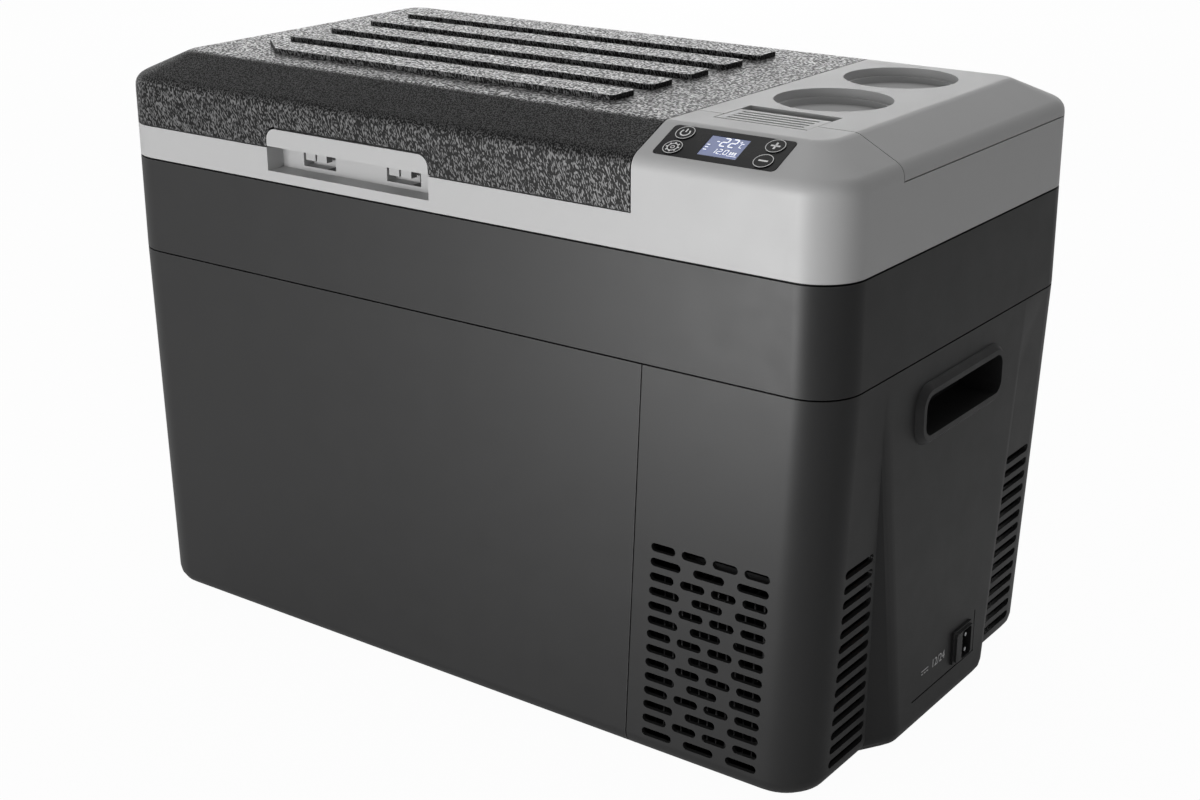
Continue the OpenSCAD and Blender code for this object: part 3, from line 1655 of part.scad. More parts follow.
cabinet_shell();
machine_housing();
upper_collar();
top_frame();
inner_liner();
insulation_foam();
evaporator();
bulkhead();
base_plate();
rubber_feet();
base_screws();
compressor();
compressor_grommets();
compressor_bolts();
condenser_fins();
condenser_coil();
fan_shroud();
fan_motor();
fan_rotor();
filter_drier();
drier_clip();
suction_pipe();
discharge_pipe();
liquid_pipe();
capillary_tube();
control_board();
board_standoffs();
driver_heatsink();
control_panel();
display_lcd();
display_board();
display_spacers();
power_button();
mode_button();
plus_button();
minus_button();
dc_socket();
dc_socket_pins();
power_lead();
grip_right();
grip_left();
battery_bay();
interior_light();
lid_shell();
lid_liner();
lid_foam();
lid_gasket();
lid_hinge_pins();
latch_handle();
latch_pin();
latch_springs();
accessory_cover();
cover_hinge_pins();
catch_tray();
cover_catch();
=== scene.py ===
import json
import math

import bpy
from mathutils import Matrix, Vector


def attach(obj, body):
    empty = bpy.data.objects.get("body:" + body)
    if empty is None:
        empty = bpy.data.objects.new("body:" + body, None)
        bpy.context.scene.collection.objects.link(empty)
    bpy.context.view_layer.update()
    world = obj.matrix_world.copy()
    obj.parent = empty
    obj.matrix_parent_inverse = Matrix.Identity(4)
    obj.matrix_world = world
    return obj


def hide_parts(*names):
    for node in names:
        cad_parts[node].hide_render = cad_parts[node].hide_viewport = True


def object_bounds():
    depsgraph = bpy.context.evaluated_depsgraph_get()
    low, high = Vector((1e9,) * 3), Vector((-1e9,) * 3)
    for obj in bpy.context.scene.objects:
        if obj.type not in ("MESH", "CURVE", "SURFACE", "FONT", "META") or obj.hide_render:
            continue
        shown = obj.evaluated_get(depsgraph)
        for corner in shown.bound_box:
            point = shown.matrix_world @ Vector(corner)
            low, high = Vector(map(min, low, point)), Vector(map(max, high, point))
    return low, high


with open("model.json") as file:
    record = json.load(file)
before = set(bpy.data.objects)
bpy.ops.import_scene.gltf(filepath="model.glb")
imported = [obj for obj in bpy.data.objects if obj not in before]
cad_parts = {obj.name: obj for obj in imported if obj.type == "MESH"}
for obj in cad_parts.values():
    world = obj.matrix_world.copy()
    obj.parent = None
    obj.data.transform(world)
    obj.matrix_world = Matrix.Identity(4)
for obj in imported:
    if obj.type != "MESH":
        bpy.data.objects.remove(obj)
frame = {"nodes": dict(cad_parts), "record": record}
nodes = frame["nodes"]
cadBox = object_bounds()
scene = bpy.context.scene
print("frame loaded:", len(nodes), "nodes")

# hand tools


def pick(*objs):
    bpy.ops.object.select_all(action="DESELECT")
    for obj in objs:
        obj.select_set(True)
    bpy.context.view_layer.objects.active = objs[0]


def enterEdit(piece, mode="VERT"):
    pick(piece)
    bpy.ops.object.mode_set(mode="EDIT")
    bpy.ops.mesh.select_mode(type=mode)


def leaveEdit():
    bpy.ops.object.mode_set(mode="OBJECT")


def applyAll(piece):
    pick(piece)
    for modifier in list(piece.modifiers):
        bpy.ops.object.modifier_apply(modifier=modifier.name)


def roundEdges(piece, width, steps=2, angle=30, smooth=40):  # the new narrow faces are marked as edgeBand
    mesh = piece.data
    while len(mesh.materials) < 2:
        mesh.materials.append(None)
    modifier = piece.modifiers.new("roundEdges", "BEVEL")
    modifier.width = width
    modifier.segments = steps
    modifier.limit_method = "ANGLE"
    modifier.angle_limit = math.radians(angle)
    modifier.use_clamp_overlap = True
    modifier.material = 1
    applyAll(piece)
    mesh = piece.data
    band = [float(face.material_index) for face in mesh.polygons]
    mesh.attributes.new("edgeBand", "FLOAT", "FACE").data.foreach_set("value", band)
    mesh.polygons.foreach_set("material_index", [0] * len(band))
    pick(piece)
    bpy.ops.object.shade_smooth_by_angle(angle=math.radians(smooth))
    even = piece.modifiers.new("evenNormals", "WEIGHTED_NORMAL")
    even.keep_sharp = True
    applyAll(piece)


mergeSetup = dict(distance=0.000004, flatAngle=math.radians(0.3))


def copyNode(node, name):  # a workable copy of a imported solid, its triangles joined again
    piece = bpy.data.objects.new(name, nodes[node].data.copy())
    scene.collection.objects.link(piece)
    piece.data.materials.clear()
    enterEdit(piece)
    bpy.ops.mesh.select_all(action="SELECT")
    bpy.ops.mesh.customdata_custom_splitnormals_clear()
    bpy.ops.mesh.remove_doubles(threshold=mergeSetup["distance"])
    bpy.ops.mesh.dissolve_limited(angle_limit=mergeSetup["flatAngle"])
    leaveEdit()
    return piece


def settle(piece, body, finish):
    piece.data.materials.clear()
    piece.data.materials.append(finish)
    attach(piece, body)


# shader parts


def newGroup(name, inputs, outputs):
    tree = bpy.data.node_groups.new(name, "ShaderNodeTree")
    for label, value in inputs.items():
        socket = tree.interface.new_socket(label, in_out="INPUT", socket_type="NodeSocketFloat")
        socket.default_value = value
    for label in outputs:
        tree.interface.new_socket(label, in_out="OUTPUT", socket_type="NodeSocketFloat")
    return tree, add(tree, "NodeGroupInput"), add(tree, "NodeGroupOutput")


def add(tree, kind, values=None, **props):
    node = tree.nodes.new(kind)
    for key, value in props.items():
        setattr(node, key, value)
    for key, value in (values or {}).items():
        node.inputs[key].default_value = value
    return node


def wire(tree, *pairs):
    for source, target in pairs:
        tree.links.new(source, target)


def maths(tree, operation, a, b=None):
    node = add(tree, "ShaderNodeMath", operation=operation)
    for socket, value in zip(node.inputs, (a, b)):
        if value is None:
            continue
        if isinstance(value, (int, float)):
            socket.default_value = value
        else:
            tree.links.new(value, socket)
    return node.outputs[0]


def spread(tree, value, low, high, toLow, toHigh):
    node = add(tree, "ShaderNodeMapRange",
               {"From Min": low, "From Max": high, "To Min": toLow, "To Max": toHigh})
    tree.links.new(value, node.inputs["Value"])
    return node.outputs["Result"]


def buildMouldGrain():
    tree, enter, leave = newGroup("mouldGrain", {"Scale": 1500.0}, ("Height", "Tone", "Polish"))
    place = add(tree, "ShaderNodeTexCoord").outputs["Object"]
    fine = add(tree, "ShaderNodeTexNoise", {"Detail": 3.0, "Roughness": 0.6})
    broad = add(tree, "ShaderNodeTexNoise", {"Scale": 7.0, "Detail": 3.0, "Roughness": 0.55})
    haze = add(tree, "ShaderNodeTexNoise", {"Scale": 38.0, "Detail": 4.0, "Roughness": 0.65})
    for noise in (fine, broad, haze):
        wire(tree, (place, noise.inputs["Vector"]))
    wire(tree, (enter.outputs["Scale"], fine.inputs["Scale"]), (fine.outputs["Fac"], leave.inputs["Height"]))
    tone = maths(tree, "ADD", spread(tree, broad.outputs["Fac"], 0.3, 0.7, 0.0, 0.4),
                 spread(tree, fine.outputs["Fac"], 0.3, 0.7, 0.0, 0.6))
    wire(tree, (tone, leave.inputs["Tone"]))
    wire(tree, (spread(tree, haze.outputs["Fac"], 0.3, 0.7, 0.0, 1.0), leave.inputs["Polish"]))
    return tree


strokeSetup = dict(lean=math.radians(22), stretch=0.36, bend=0.3, cut=(0.5, 0.58), fine=1500.0, fineShare=0.3)


def buildPebbleGrain():  # leaning wavy strokes, drawn out along Z, so that a level face shows them as specks
    tree, enter, leave = newGroup("pebbleGrain", {"Scale": 400.0}, ("Height", "Crest"))
    place = add(tree, "ShaderNodeTexCoord").outputs["Object"]
    lean = add(tree, "ShaderNodeMapping", {"Rotation": (0.0, strokeSetup["lean"], 0.0)})
    drawn = add(tree, "ShaderNodeMapping", {"Scale": (1.0, 1.0, strokeSetup["stretch"])})
    wave = add(tree, "ShaderNodeTexNoise", {"Detail": 0.0, "Distortion": strokeSetup["bend"]})
    fine = add(tree, "ShaderNodeTexNoise", {"Scale": strokeSetup["fine"], "Detail": 2.0})
    wire(tree, (place, lean.inputs["Vector"]), (lean.outputs[0], drawn.inputs["Vector"]),
         (drawn.outputs[0], wave.inputs["Vector"]), (enter.outputs["Scale"], wave.inputs["Scale"]),
         (place, fine.inputs["Vector"]))
    ridge = spread(tree, wave.outputs["Fac"], *strokeSetup["cut"], 0.0, 1.0)
    height = maths(tree, "ADD", ridge, maths(tree, "MULTIPLY", fine.outputs["Fac"], strokeSetup["fineShare"]))
    wire(tree, (height, leave.inputs["Height"]), (ridge, leave.inputs["Crest"]))
    return tree


def buildEdgeWearAndHighlight():  # broken polish along the rounded edges: lighter there as wear and as a painted highlight
    tree, enter, leave = newGroup("edgeWearAndHighlight", {"Share": 1.0}, ("Mask",))
    band = add(tree, "ShaderNodeAttribute", attribute_name="edgeBand").outputs["Fac"]
    place = add(tree, "ShaderNodeTexCoord").outputs["Object"]
    patch = add(tree, "ShaderNodeTexNoise", {"Scale": 130.0, "Detail": 4.0, "Roughness": 0.7})
    wire(tree, (place, patch.inputs["Vector"]))
    broken = spread(tree, patch.outputs["Fac"], 0.35, 0.6, 0.25, 1.0)
    share = maths(tree, "MULTIPLY", band, enter.outputs["Share"])
    wire(tree, (maths(tree, "MULTIPLY", share, broken), leave.inputs["Mask"]))
    return tree


def buildBrushLines():
    tree, enter, leave = newGroup("brushLines", {"Scale": 900.0}, ("Height", "Tone"))
    place = add(tree, "ShaderNodeTexCoord").outputs["Object"]
    turn = add(tree, "ShaderNodeMapping")
    turn.inputs["Scale"].default_value = (0.03, 1.0, 1.0)
    lines = add(tree, "ShaderNodeTexNoise", {"Detail": 3.0})
    cloud = add(tree, "ShaderNodeTexNoise", {"Scale": 30.0, "Detail": 3.0})
    wire(tree, (place, turn.inputs["Vector"]), (turn.outputs[0], lines.inputs["Vector"]),
         (enter.outputs["Scale"], lines.inputs["Scale"]), (place, cloud.inputs["Vector"]),
         (lines.outputs["Fac"], leave.inputs["Height"]), (cloud.outputs["Fac"], leave.inputs["Tone"]))
    return tree


mouldGrain = buildMouldGrain()
pebbleGrain = buildPebbleGrain()
edgeWearAndHighlight = buildEdgeWearAndHighlight()
brushLines = buildBrushLines()


def useGroup(tree, group, **values):
    node = add(tree, "ShaderNodeGroup")
    node.node_tree = group
    for key, value in values.items():
        node.inputs[key].default_value = value
    return node


def blendColour(tree, mask, first, second):
    node = add(tree, "ShaderNodeMix", data_type="RGBA")
    tree.links.new(mask, node.inputs["Factor"])
    for value, socket in ((first, node.inputs[6]), (second, node.inputs[7])):
        if isinstance(value, tuple):
            socket.default_value = (*value, 1.0)
        else:
            tree.links.new(value, socket)
    return node.outputs[2]


def bumped(tree, shader, height, depth, strength=1.0):
    bump = add(tree, "ShaderNodeBump", {"Distance": depth, "Strength": strength})
    wire(tree, (height, bump.inputs["Height"]), (bump.outputs["Normal"], shader.inputs["Normal"]))


def newFinish(name, **sockets):
    finish = bpy.data.materials.new(name)
    finish.use_nodes = True
    shader = finish.node_tree.nodes["Principled BSDF"]
    for label, value in sockets.items():
        shader.inputs[label.replace("_", " ")].default_value = value
    return finish, finish.node_tree, shader


def insideBoxes(tree, boxes):  # one inside any of the given boxes, each a low and a high corner
    place = add(tree, "ShaderNodeSeparateXYZ")
    wire(tree, (add(tree, "ShaderNodeTexCoord").outputs["Object"], place.inputs[0]))
    mask = 0.0
    for low, high in boxes:
        inside = 1.0
        for axis, least, most in zip("XYZ", low, high):
            above = maths(tree, "GREATER_THAN", place.outputs[axis], least)
            below = maths(tree, "LESS_THAN", place.outputs[axis], most)
            inside = maths(tree, "MULTIPLY", inside, maths(tree, "MULTIPLY", above, below))
        mask = maths(tree, "MAXIMUM", mask, inside)
    return mask


def mouldedPlastic(name, colour, light, wearAndHighlight, rough, grain=1500.0, depth=0.00003, shadeBoxes=(), **sockets):
    finish, tree, shader = newFinish(name, **sockets)
    skin = useGroup(tree, mouldGrain, Scale=grain)
    wornAndLit = useGroup(tree, edgeWearAndHighlight)
    body = blendColour(tree, skin.outputs["Tone"], colour, light)
    # rounded edges lightened, as wear and as a painted highlight
    coat = blendColour(tree, wornAndLit.outputs["Mask"], body, wearAndHighlight)
    if shadeBoxes:  # painted shade: seams and wells that hold no light are coloured black
        coat = blendColour(tree, insideBoxes(tree, shadeBoxes), coat, shadeBlack)
    wire(tree, (coat, shader.inputs["Base Color"]),
         (spread(tree, skin.outputs["Polish"], 0.0, 1.0, *rough), shader.inputs["Roughness"]))
    bumped(tree, shader, skin.outputs["Height"], depth)
    return finish


def blendValue(tree, mask, first, second):
    node = add(tree, "ShaderNodeMix", data_type="FLOAT")
    wire(tree, (mask, node.inputs[0]), (first, node.inputs[2]), (second, node.inputs[3]))
    return node.outputs[0]


# how far a face of the lid leans, by its normal; slanted and level paint shade and highlight into the lid's
# colour, under and end mark the faces painted black as seam shade
lidFaces = dict(slanted=(0.3, 0.8), level=(0.94, 0.985), under=(-0.6, -0.3), end=(0.9, 0.97))
lidGrain = dict(upright=1250.0, level=580.0, depth=0.0005, shine=(0.15, 0.5))


def pebbledPlastic(name, colour, crest, slantShade, levelHighlight, rough):
    finish, tree, shader = newFinish(name)
    facing = add(tree, "ShaderNodeSeparateXYZ")
    wire(tree, (add(tree, "ShaderNodeTexCoord").outputs["Normal"], facing.inputs[0]))
    slanted = spread(tree, facing.outputs["Z"], *lidFaces["slanted"], 0.0, 1.0)
    level = spread(tree, facing.outputs["Z"], *lidFaces["level"], 0.0, 1.0)
    under = spread(tree, facing.outputs["Z"], *lidFaces["under"], 1.0, 0.0)
    end = spread(tree, facing.outputs["X"], *lidFaces["end"], 0.0, 1.0)
    lidSeamShade = maths(tree, "MAXIMUM", under, end)  # the faces inside the lid's seam, painted black as shade
    upright, flat = (useGroup(tree, pebbleGrain, Scale=lidGrain[face]) for face in ("upright", "level"))
    height, stroke = (blendValue(tree, level, upright.outputs[label], flat.outputs[label])
                      for label in ("Height", "Crest"))
    # painted highlight on level faces and painted shade on slanted faces, in the strokes' crest colour
    litAndShadedTip = blendColour(tree, level, blendColour(tree, slanted, crest, slantShade), levelHighlight)
    coat = blendColour(tree, lidSeamShade, blendColour(tree, stroke, colour, litAndShadedTip), shadeBlack)
    wire(tree, (coat, shader.inputs["Base Color"]),
         (spread(tree, stroke, 0.0, 1.0, *rough), shader.inputs["Roughness"]),
         (spread(tree, stroke, 0.0, 1.0, *lidGrain["shine"]), shader.inputs["Specular IOR Level"]))
    bumped(tree, shader, height, lidGrain["depth"])
    return finish


def drawnMetal(name, colour, slantShade, rough, scale=900.0, depth=0.00001, **sockets):
    finish, tree, shader = newFinish(name, Metallic=1.0, **sockets)
    lines = useGroup(tree, brushLines, Scale=scale)
    wire(tree, (blendColour(tree, spread(tree, lines.outputs["Tone"], 0.35, 0.7, 0.0, 1.0), colour, slantShade),
                shader.inputs["Base Color"]),
         (spread(tree, lines.outputs["Tone"], 0.3, 0.7, *rough), shader.inputs["Roughness"]))
    bumped(tree, shader, lines.outputs["Height"], depth)
    return finish


# black painted as shade into the seam grooves, the hook wells and the lid's seam faces
shadeBlack = (0.002, 0.002, 0.002)
seamShadeLevels = ((0.2648, 0.266), (0.3321, 0.3335))  # the grooves below and above the collar, painted black as shade
seamShadeBoxes = [((-1, -1, low), (1, 1, high)) for low, high in seamShadeLevels]
wellSetup = dict(fromMid=0.037, across=(0.0058, 0.0147), depth=(-0.1432, -0.12), level=(0.343, 0.3555))
pullMid = sum(corner[0] for corner in nodes["latch_handle"].bound_box) / 8


def wellShadeBoxes(setup):  # the open end of each well, beside the hook that hangs in it, painted black as shade
    mids = (pullMid - setup["fromMid"], pullMid + setup["fromMid"])
    boxes = []
    for mid in mids:
        across = [mid + end for end in setup["across"]]
        boxes.append(tuple(zip(across, setup["depth"], setup["level"])))
    return boxes


hookWellShade = wellShadeBoxes(wellSetup)
greySatin = ((0.49, 0.49, 0.491), (0.497, 0.497, 0.498), (0.54, 0.54, 0.54), (0.44, 0.5))
# the third colour of each moulded plastic lightens its rounded edges, as wear and as a painted highlight
finishes = {
    "case_plastic": mouldedPlastic("charcoalSatin", (0.0255, 0.0255, 0.0258), (0.0275, 0.0275, 0.0278),
                                   (0.1, 0.1, 0.101), (0.4, 0.45), shadeBoxes=seamShadeBoxes, Specular_IOR_Level=0.25),
    "frame_plastic": mouldedPlastic("greySatin", *greySatin, Specular_IOR_Level=0.4),
    "frame_walls": mouldedPlastic("greyFrame", *greySatin, shadeBoxes=hookWellShade, Specular_IOR_Level=0.4),
    "lid_plastic": pebbledPlastic("pebbledLid", (0.006, 0.006, 0.0061), (0.15, 0.15, 0.151),
                                  (0.04, 0.04, 0.0402), (0.45, 0.45, 0.45), (0.5, 0.36)),
    "black_plastic": mouldedPlastic("mattBlack", (0.012, 0.012, 0.0125), (0.016, 0.016, 0.0165),
                                    (0.05, 0.05, 0.05), (0.45, 0.55)),
    "panel_gloss": mouldedPlastic("glossPanel", (0.006, 0.006, 0.0065), (0.008, 0.008, 0.0085),
                                  (0.03, 0.03, 0.03), (0.25, 0.32), depth=0.000005, Specular_IOR_Level=0.12),
    "liner_plastic": mouldedPlastic("linerWhite", (0.72, 0.72, 0.71), (0.76, 0.76, 0.75),
                                    (0.8, 0.8, 0.8), (0.3, 0.4)),
    "rubber": mouldedPlastic("softRubber", (0.011, 0.011, 0.011), (0.016, 0.016, 0.016),
                             (0.03, 0.03, 0.03), (0.65, 0.8), grain=900.0, depth=0.00006),
    "foam": mouldedPlastic("rigidFoam", (0.62, 0.56, 0.42), (0.7, 0.64, 0.5), (0.7, 0.65, 0.5), (0.8, 0.9),
                           grain=700.0, depth=0.0003),
    "can_paint": mouldedPlastic("blackEnamel", (0.008, 0.008, 0.008), (0.011, 0.011, 0.011),
                                (0.04, 0.04, 0.04), (0.25, 0.35)),
    "board": mouldedPlastic("circuitBoard", (0.012, 0.06, 0.03), (0.02, 0.1, 0.05), (0.1, 0.2, 0.1),
                            (0.35, 0.5)),
    "light": mouldedPlastic("frostedLens", (0.8, 0.78, 0.7), (0.85, 0.83, 0.75), (0.9, 0.9, 0.85),
                            (0.3, 0.4)),
    "display": mouldedPlastic("litDisplay", (0.2, 0.25, 0.5), (0.24, 0.29, 0.55), (0.3, 0.35, 0.6),
                              (0.1, 0.15)),
    "steel": drawnMetal("platedSteel", (0.55, 0.56, 0.57), (0.42, 0.43, 0.44), (0.25, 0.4)),
    "alloy": drawnMetal("plainAlloy", (0.62, 0.63, 0.64), (0.5, 0.51, 0.52), (0.3, 0.45)),
    "copper": drawnMetal("bareCopper", (0.6, 0.28, 0.16), (0.4, 0.17, 0.1), (0.25, 0.4)),
}
print("finishes made:", len(finishes))

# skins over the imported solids

slotOf = {entry["node"]: entry["material_slot"] for entry in frame["record"]["subparts"]}
bodyOf = {node: body for body, group in frame["record"]["behaviour"]["bodies"].items() for node in group}

skins = {
    "cabinet_shell": dict(name="cabinetSkin", edge=0.0003),
    "machine_housing": dict(name="housingSkin", edge=0.0003),
    "upper_collar": dict(name="collarSkin", edge=0.0003),
    "top_frame": dict(name="frameSkin", edge=0.0006),
    "lid_shell": dict(name="lidSkin", edge=0.0014),
    "accessory_cover": dict(name="coverSkin", edge=0.0006),
    "latch_handle": dict(name="pullSkin", edge=0.0005),
    "cover_catch": dict(name="catchSkin", edge=0.0004),
    "control_panel": dict(name="panelSkin", edge=0.0003),
    "grip_right": dict(name="gripRightSkin", edge=0.0008),
    "grip_left": dict(name="gripLeftSkin", edge=0.0008),
    "dc_socket": dict(name="socketSkin", edge=0.0003),
    "battery_bay": dict(name="baySkin", edge=0.0006),
    "inner_liner": dict(name="tubSkin", edge=0.0008),
    "lid_liner": dict(name="lidLinerSkin", edge=0.0008),
}
ownFinish = {"top_frame": "frame_walls", "condenser_fins": "can_paint", "condenser_coil": "can_paint",
             "fan_shroud": "can_paint"}  # nodes finished otherwise than their slot


def finishOf(node):
    return finishes[ownFinish.get(node, slotOf[node])]


for node, setup in skins.items():
    piece = copyNode(node, setup["name"])
    roundEdges(piece, setup["edge"])
    settle(piece, bodyOf[node], finishOf(node))
    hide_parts(node)
for node, obj in nodes.items():
    if node not in skins:
        obj.data.materials.clear()
        obj.data.materials.append(finishOf(node))
print("skins made:", len(skins))

# marks on the panel: each key's ring and sign, and the figures on the display

panelPlace = dict(centre=(0.201, -0.139, 0.397667), tilt=math.radians(24.624))
keyMarks = dict(lift=0.00091, thick=0.00006, ringR=0.0058, ringW=0.00042, stroke=0.0009, signR=0.0029)
keyPlaces = {"power": (-0.0303, 0.0072), "mode": (-0.0303, -0.0072), "plus": (0.0303, 0.0072),
             "minus": (0.0303, -0.0072)}


def thicken(piece, thick):
    modifier = piece.modifiers.new("thicken", "SOLIDIFY")
    modifier.thickness = thick
    modifier.offset = 1.0
    applyAll(piece)


def flatRing(name, radius, width, steps=48, gapAt=None, gapHalf=0.0):  # a band, open where a gap is asked for
    bpy.ops.object.select_all(action="DESELECT")
    bpy.ops.mesh.primitive_circle_add(vertices=steps, radius=radius + width / 2, fill_type="NOTHING")
    ring = bpy.context.object
    ring.name = name
    if gapAt is not None:
        enterEdit(ring)
        bpy.ops.mesh.select_all(action="DESELECT")
        leaveEdit()
        for vert in ring.data.vertices:
            turn = abs((math.atan2(vert.co.y, vert.co.x) - gapAt + math.pi) % (2 * math.pi) - math.pi)
            vert.select = turn < gapHalf
        enterEdit(ring)
        bpy.ops.mesh.delete(type="VERT")
        leaveEdit()
    enterEdit(ring)
    bpy.ops.mesh.select_all(action="SELECT")
    bpy.ops.mesh.extrude_edges_move()
    inner = (radius - width / 2) / (radius + width / 2)
    bpy.ops.transform.resize(value=(inner, inner, 1), center_override=(0, 0, 0))
    bpy.ops.mesh.select_all(action="SELECT")
    bpy.ops.mesh.normals_make_consistent(inside=False)
    leaveEdit()
    if ring.data.polygons[0].normal.z < 0:
        enterEdit(ring)
        bpy.ops.mesh.select_all(action="SELECT")
        bpy.ops.mesh.flip_normals()
        leaveEdit()
    return ring


def flatBar(name, length, width, cut):  # a bar with its four corners cut
    bpy.ops.object.select_all(action="DESELECT")
    bpy.ops.mesh.primitive_plane_add(size=1)
    bar = bpy.context.object
    bar.name = name
    enterEdit(bar)
    bpy.ops.mesh.select_all(action="SELECT")
    bpy.ops.transform.resize(value=(length, width, 1))
    if cut > 0:
        bpy.ops.mesh.bevel(offset=cut, segments=2, affect="VERTICES")
    leaveEdit()
    return bar


def shift(piece, x, y, turn=0.0):
    piece.data.transform(Matrix.Translation((x, y, 0)) @ Matrix.Rotation(turn, 4, "Z"))
    return piece


def joinAll(name, pieces):
    pick(*pieces)
    bpy.ops.object.join()
    pieces[0].name = name
    return pieces[0]


def onPanel(piece, u, v, lift):
    tilt = Matrix.Rotation(panelPlace["tilt"], 4, "X")
    middle = Vector(panelPlace["centre"]) + tilt @ Vector((u, v, lift))
    piece.matrix_world = Matrix.Translation(middle) @ tilt
    pick(piece)
    bpy.ops.object.transform_apply(location=True, rotation=True, scale=True)


def powerSign(setup):
    r, stroke = setup["signR"], setup["stroke"]
    arc = flatRing("arc", r, stroke, 40, math.radians(90), math.radians(38))
    return [arc, shift(flatBar("bar", stroke, r * 1.15, stroke * 0.2), 0, r * 0.72)]


def modeSign(setup):  # a toothed wheel with a hub
    r = setup["signR"] * 1.12
    wheel = flatRing("wheel", r, setup["stroke"] * 0.75, 40)
    hub = flatRing("hub", r * 0.36, setup["stroke"] * 0.6, 20)
    teeth = []
    for i in range(8):
        turn = 2 * math.pi * i / 8
        tooth = flatBar("tooth", setup["stroke"] * 1.2, setup["stroke"] * 1.2, setup["stroke"] * 0.2)
        teeth.append(shift(tooth, math.cos(turn) * r * 1.22, math.sin(turn) * r * 1.22, turn))
    return [wheel, hub, *teeth]


def minusSign(setup):
    return [flatBar("bar", setup["signR"] * 2.1, setup["stroke"] * 1.45, setup["stroke"] * 0.2)]


def plusSign(setup):
    bar = flatBar("up", setup["signR"] * 2.1, setup["stroke"] * 1.45, setup["stroke"] * 0.2)
    return minusSign(setup) + [shift(bar, 0, 0, math.pi / 2)]


signs = {"power": powerSign, "mode": modeSign, "plus": plusSign, "minus": minusSign}
whitePrint = mouldedPlastic("whitePrint", (0.8, 0.8, 0.8), (0.86, 0.86, 0.86), (0.86, 0.86, 0.86), (0.4, 0.5),
                            depth=0.000004)
for key, place in keyPlaces.items():
    mark = joinAll(key + "Mark", [flatRing("ring", keyMarks["ringR"], keyMarks["ringW"], 64)]
                   + signs[key](keyMarks))
    thicken(mark, keyMarks["thick"])
    onPanel(mark, *place, keyMarks["lift"])
    settle(mark, key + "_key", whitePrint)

bigFigure, smallFigure = (0.0036, 0.0074, 0.00105), (0.0022, 0.0043, 0.00062)  # width, height and stroke
displayMarks = dict(
    lift=0.0004, thick=0.00005,
    figures=(("-", -0.0072, 0.0005, (0.0022, 0.0072, 0.0009)), ("2", -0.0036, 0.0005, bigFigure),
             ("2", 0.0021, 0.0005, bigFigure), ("C", 0.0091, 0.0012, (0.0018, 0.0036, 0.0006))),
    degree=dict(radius=0.0006, width=0.0004, place=(0.0085, 0.0061)),
    lower=dict(signs="120", x=-0.0052, y=-0.0066, step=0.0036, stepAtPoint=0.0043),
    point=dict(size=(0.0006, 0.0006, 0.00015), place=(0.0016, -0.0068)),
    levels=dict(size=(0.0022, 0.0007, 0.0002), place=(-0.0104, 0.0005), step=0.0024),
    cells=dict(size=(0.0011, 0.0026, 0.0002), place=(0.0072, -0.0048), step=0.0016),
    rule=dict(size=(0.0064, 0.0005, 0.0001), place=(0.0089, -0.0072)),
)
litParts = {"0": "abcdef", "1": "bc", "2": "abged", "C": "adef", "-": "g"}


def figure(sign, x, y, size):  # one seven-part figure, x and y at its lower left
    w, h, t = size
    half = h / 2
    parts = {"a": (w / 2, h, 0), "g": (w / 2, half, 0), "d": (w / 2, 0, 0), "b": (w, half * 1.5, 1),
             "c": (w, half * 0.5, 1), "e": (0, half * 0.5, 1), "f": (0, half * 1.5, 1)}
    made = []
    for part in litParts[sign]:
        u, v, upright = parts[part]
        bar = flatBar("part", (half if upright else w) - t * 0.3, t, t * 0.45)
        made.append(shift(bar, x + u + v * 0.09, y + v, math.radians(85) if upright else 0))
    return made


def displayFigures(setup):
    made = []
    for row in setup["figures"]:
        made += figure(*row)
    degree, lower, point, rule = setup["degree"], setup["lower"], setup["point"], setup["rule"]
    made.append(shift(flatRing("degree", degree["radius"], degree["width"], 16), *degree["place"]))
    x = lower["x"]
    for sign in lower["signs"]:
        made += figure(sign, x, lower["y"], smallFigure)
        x += lower["stepAtPoint"] if sign == "2" else lower["step"]
    made.append(shift(flatBar("point", *point["size"]), *point["place"]))
    levels, cells = setup["levels"], setup["cells"]
    for i in range(3):  # level bars and cell bars beside the figures
        x, y = levels["place"]
        made.append(shift(flatBar("level", *levels["size"]), x, y - levels["step"] * i))
        x, y = cells["place"]
        made.append(shift(flatBar("cell", *cells["size"]), x + cells["step"] * i, y))
    made.append(shift(flatBar("rule", *rule["size"]), *rule["place"]))
    return made


glowPrint = mouldedPlastic("glowPrint", (0.85, 0.86, 0.9), (0.9, 0.91, 0.94), (0.9, 0.9, 0.9), (0.4, 0.5),
                           depth=0.000002, Emission_Color=(0.9, 0.93, 1.0, 1.0), Emission_Strength=0.5)
figures = joinAll("displayFigures", displayFigures(displayMarks))
thicken(figures, displayMarks["thick"])
onPanel(figures, 0, 0, displayMarks["lift"])
settle(figures, "case", glowPrint)
print("panel marked")

# the plain supply sign beside the low-voltage socket

supplySign = dict(
    place=(-0.033, 0.0425), lift=0.00004, thick=0.00005,
    words=dict(body="12/24", size=0.00837, x=0.0165),
    line=dict(size=(0.0095, 0.0007, 0.0001), place=(0.007, 0.0034)),
    dash=dict(size=(0.0023, 0.0007, 0.0001), place=(0.0034, 0.0012), step=0.0036, count=3),
)


def onEnd(piece, y, z, lift):  # laid on the right end, reading along +Y
    housing = bpy.data.objects["housingSkin"]
    outside = Vector((2 * cadBox[1][0], y, z))
    hit, spot, normal, face = housing.ray_cast(outside, Vector((-1, 0, 0)))
    across = Vector((0, 1, 0))
    out = normal.normalized()
    up = out.cross(across).normalized()
    across = up.cross(out)
    turn = Matrix((across, up, out)).transposed().to_4x4()
    piece.matrix_world = Matrix.Translation(spot + out * lift) @ turn
    pick(piece)
    bpy.ops.object.transform_apply(location=True, rotation=True, scale=True)


